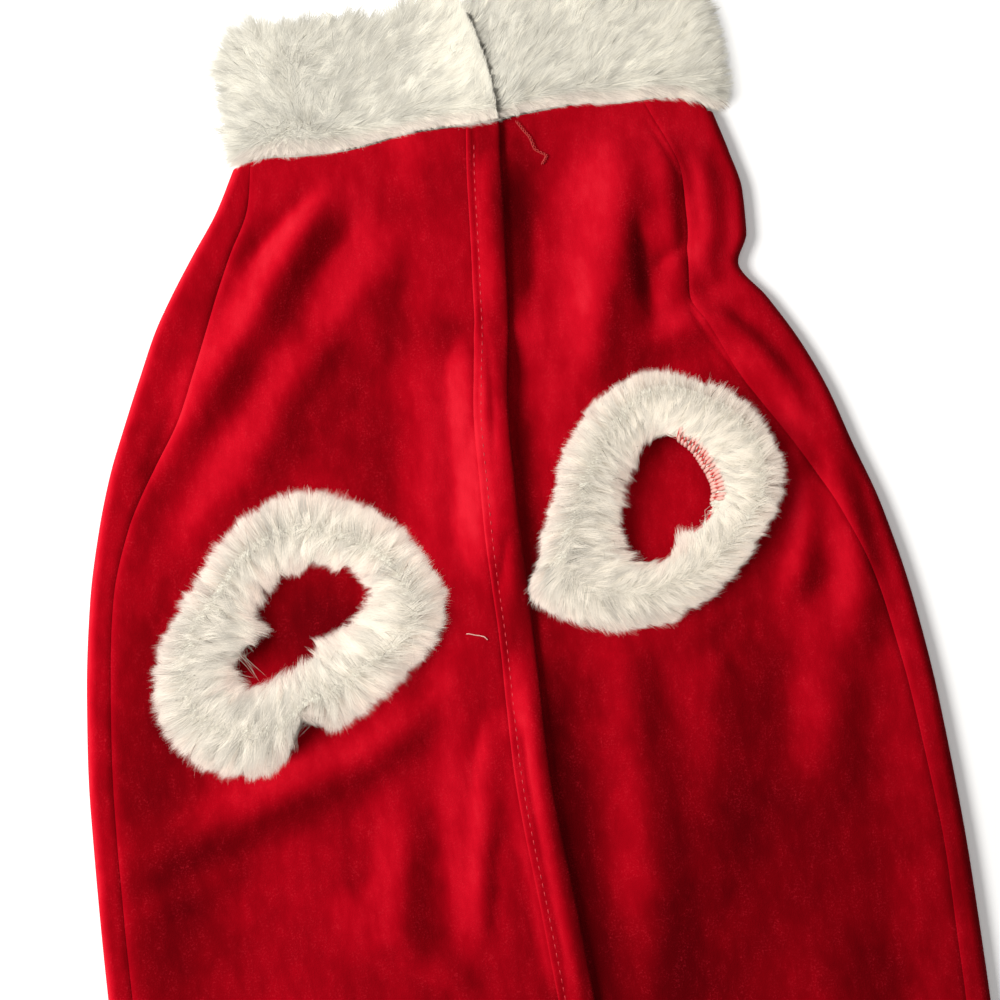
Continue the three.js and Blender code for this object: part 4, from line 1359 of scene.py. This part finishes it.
def curled(way, turns, radius, phase=0.0):
    """A loose thread end that curls about its way, given as points of x and down, on the cloth."""
    way = np.array(way, float)
    t = np.linspace(0, 1, CURL_STEPS)
    x, down = (np.interp(t, np.linspace(0, 1, len(way)), way[:, k]) for k in (0, 1))
    x, down = (smooth_line(v, 12) for v in (x, down))
    a = 2 * np.pi * turns * t + phase
    x = x + radius * np.cos(a)
    y = NECK_Y - down + radius * 0.5 * np.sin(a)
    z = cloth_top(x, y) + 0.5 + radius * 0.6 * (1 + np.sin(a))
    return np.stack([x, y, z], axis=1)


def stitching():
    lines = stitched(placket_place, LENGTH)
    for side, reach in (("left", 150.0), ("right", 124.0)):  # how far the hem's stitching runs on each front
        lines += stitched(hem_place(side), reach)
    threads("topstitching", lines, 0.24, RED_THREAD)
    tail = [(27, -5), (29.2, -1.2), (31.2, 1.6), (32.4, 6.4), (36.6, 9), (34.4, 12)]
    chain = [curled(tail, 6, 0.5, phase) for phase in (0.0, 2.1, 4.2)]
    threads("thread_tail", chain, 0.12, TAIL_THREAD)
    threads("thread_end", [curled([(-14, 178), (-9, 179), (-6, 181)], 1.5, 0.3)], 0.2, PALE_THREAD)


# ---------------------------------------------------------------- camera, lights and floor

AIM = (4.2, 30.8, 8.0)  # the middle of the view
PHOTO_TURN = math.radians(7)  # the dress lies a little askew in the view
CAMERA_TILT = math.radians(4)
CAMERA_AWAY = 800.0
VIEW_WIDTH = 360.0  # what the view takes in at the cloth
LIGHT_AIM = (0, 30, 0)


def camera():
    data = bpy.data.cameras.new("camera")
    data.sensor_width = 36
    data.lens = data.sensor_width * CAMERA_AWAY / VIEW_WIDTH
    obj = bpy.data.objects.new("camera", data)
    bpy.context.scene.collection.objects.link(obj)
    bpy.context.scene.camera = obj
    top = Vector((math.sin(PHOTO_TURN), math.cos(PHOTO_TURN), 0))
    back = (Vector((0, 0, math.cos(CAMERA_TILT))) - top * math.sin(CAMERA_TILT)).normalized()
    right_way = top.cross(back).normalized()
    up = back.cross(right_way)
    turn = Matrix((right_way, up, back)).transposed().to_4x4()
    obj.matrix_world = Matrix.Translation((Vector(AIM) + back * CAMERA_AWAY) * MM) @ turn


def area_light(name, place, size, power, colour):
    data = bpy.data.lights.new(name, "AREA")
    data.shape = "DISK"
    data.size, data.energy, data.color = size, power, colour
    obj = bpy.data.objects.new(name, data)
    bpy.context.scene.collection.objects.link(obj)
    obj.location = Vector(place) * MM
    obj.rotation_mode = "QUATERNION"
    obj.rotation_quaternion = (Vector(LIGHT_AIM) * MM - obj.location).to_track_quat("-Z", "Y")


def stage():
    mesh = bpy.data.meshes.new("floor")
    half = 2.5
    corners = [(-half, -half, 0), (half, -half, 0), (half, half, 0), (-half, half, 0)]
    mesh.from_pydata(corners, [], [(0, 1, 2, 3)])
    material, tree, shader = nodes_of("pale_floor")
    put(tree, shader, {
        "Base Color": (0.93, 0.93, 0.93, 1),
        "Emission Color": (1, 1, 1, 1),
        "Emission Strength": 0.12,
        "Roughness": 0.8,
        "Specular IOR Level": 0.1,
    })
    mesh.materials.append(material)
    floor = bpy.data.objects.new("floor", mesh)
    floor.location.z = -0.0002
    bpy.context.scene.collection.objects.link(floor)
    world = bpy.data.worlds.new("world")
    world.use_nodes = True
    background = world.node_tree.nodes["Background"]
    put(world.node_tree, background, {"Color": (1.0, 0.99, 0.97, 1), "Strength": 0.2})
    bpy.context.scene.world = world
    bpy.context.scene.view_settings.view_transform = "Standard"
    area_light("key", (-760, 190, 880), 0.5, 17.0, (1.0, 0.985, 0.955))
    area_light("fill", (120, 60, 900), 0.9, 1.6, (1.0, 0.98, 0.96))


camera()
back()
for side in ("left", "right"):
    front_panel(side)
    placket(side)
collar()
leg_cuff("left", 31000, swirl_left, 31)
leg_cuff("right", 29000, swirl_right, 32)
stitching()
stage()
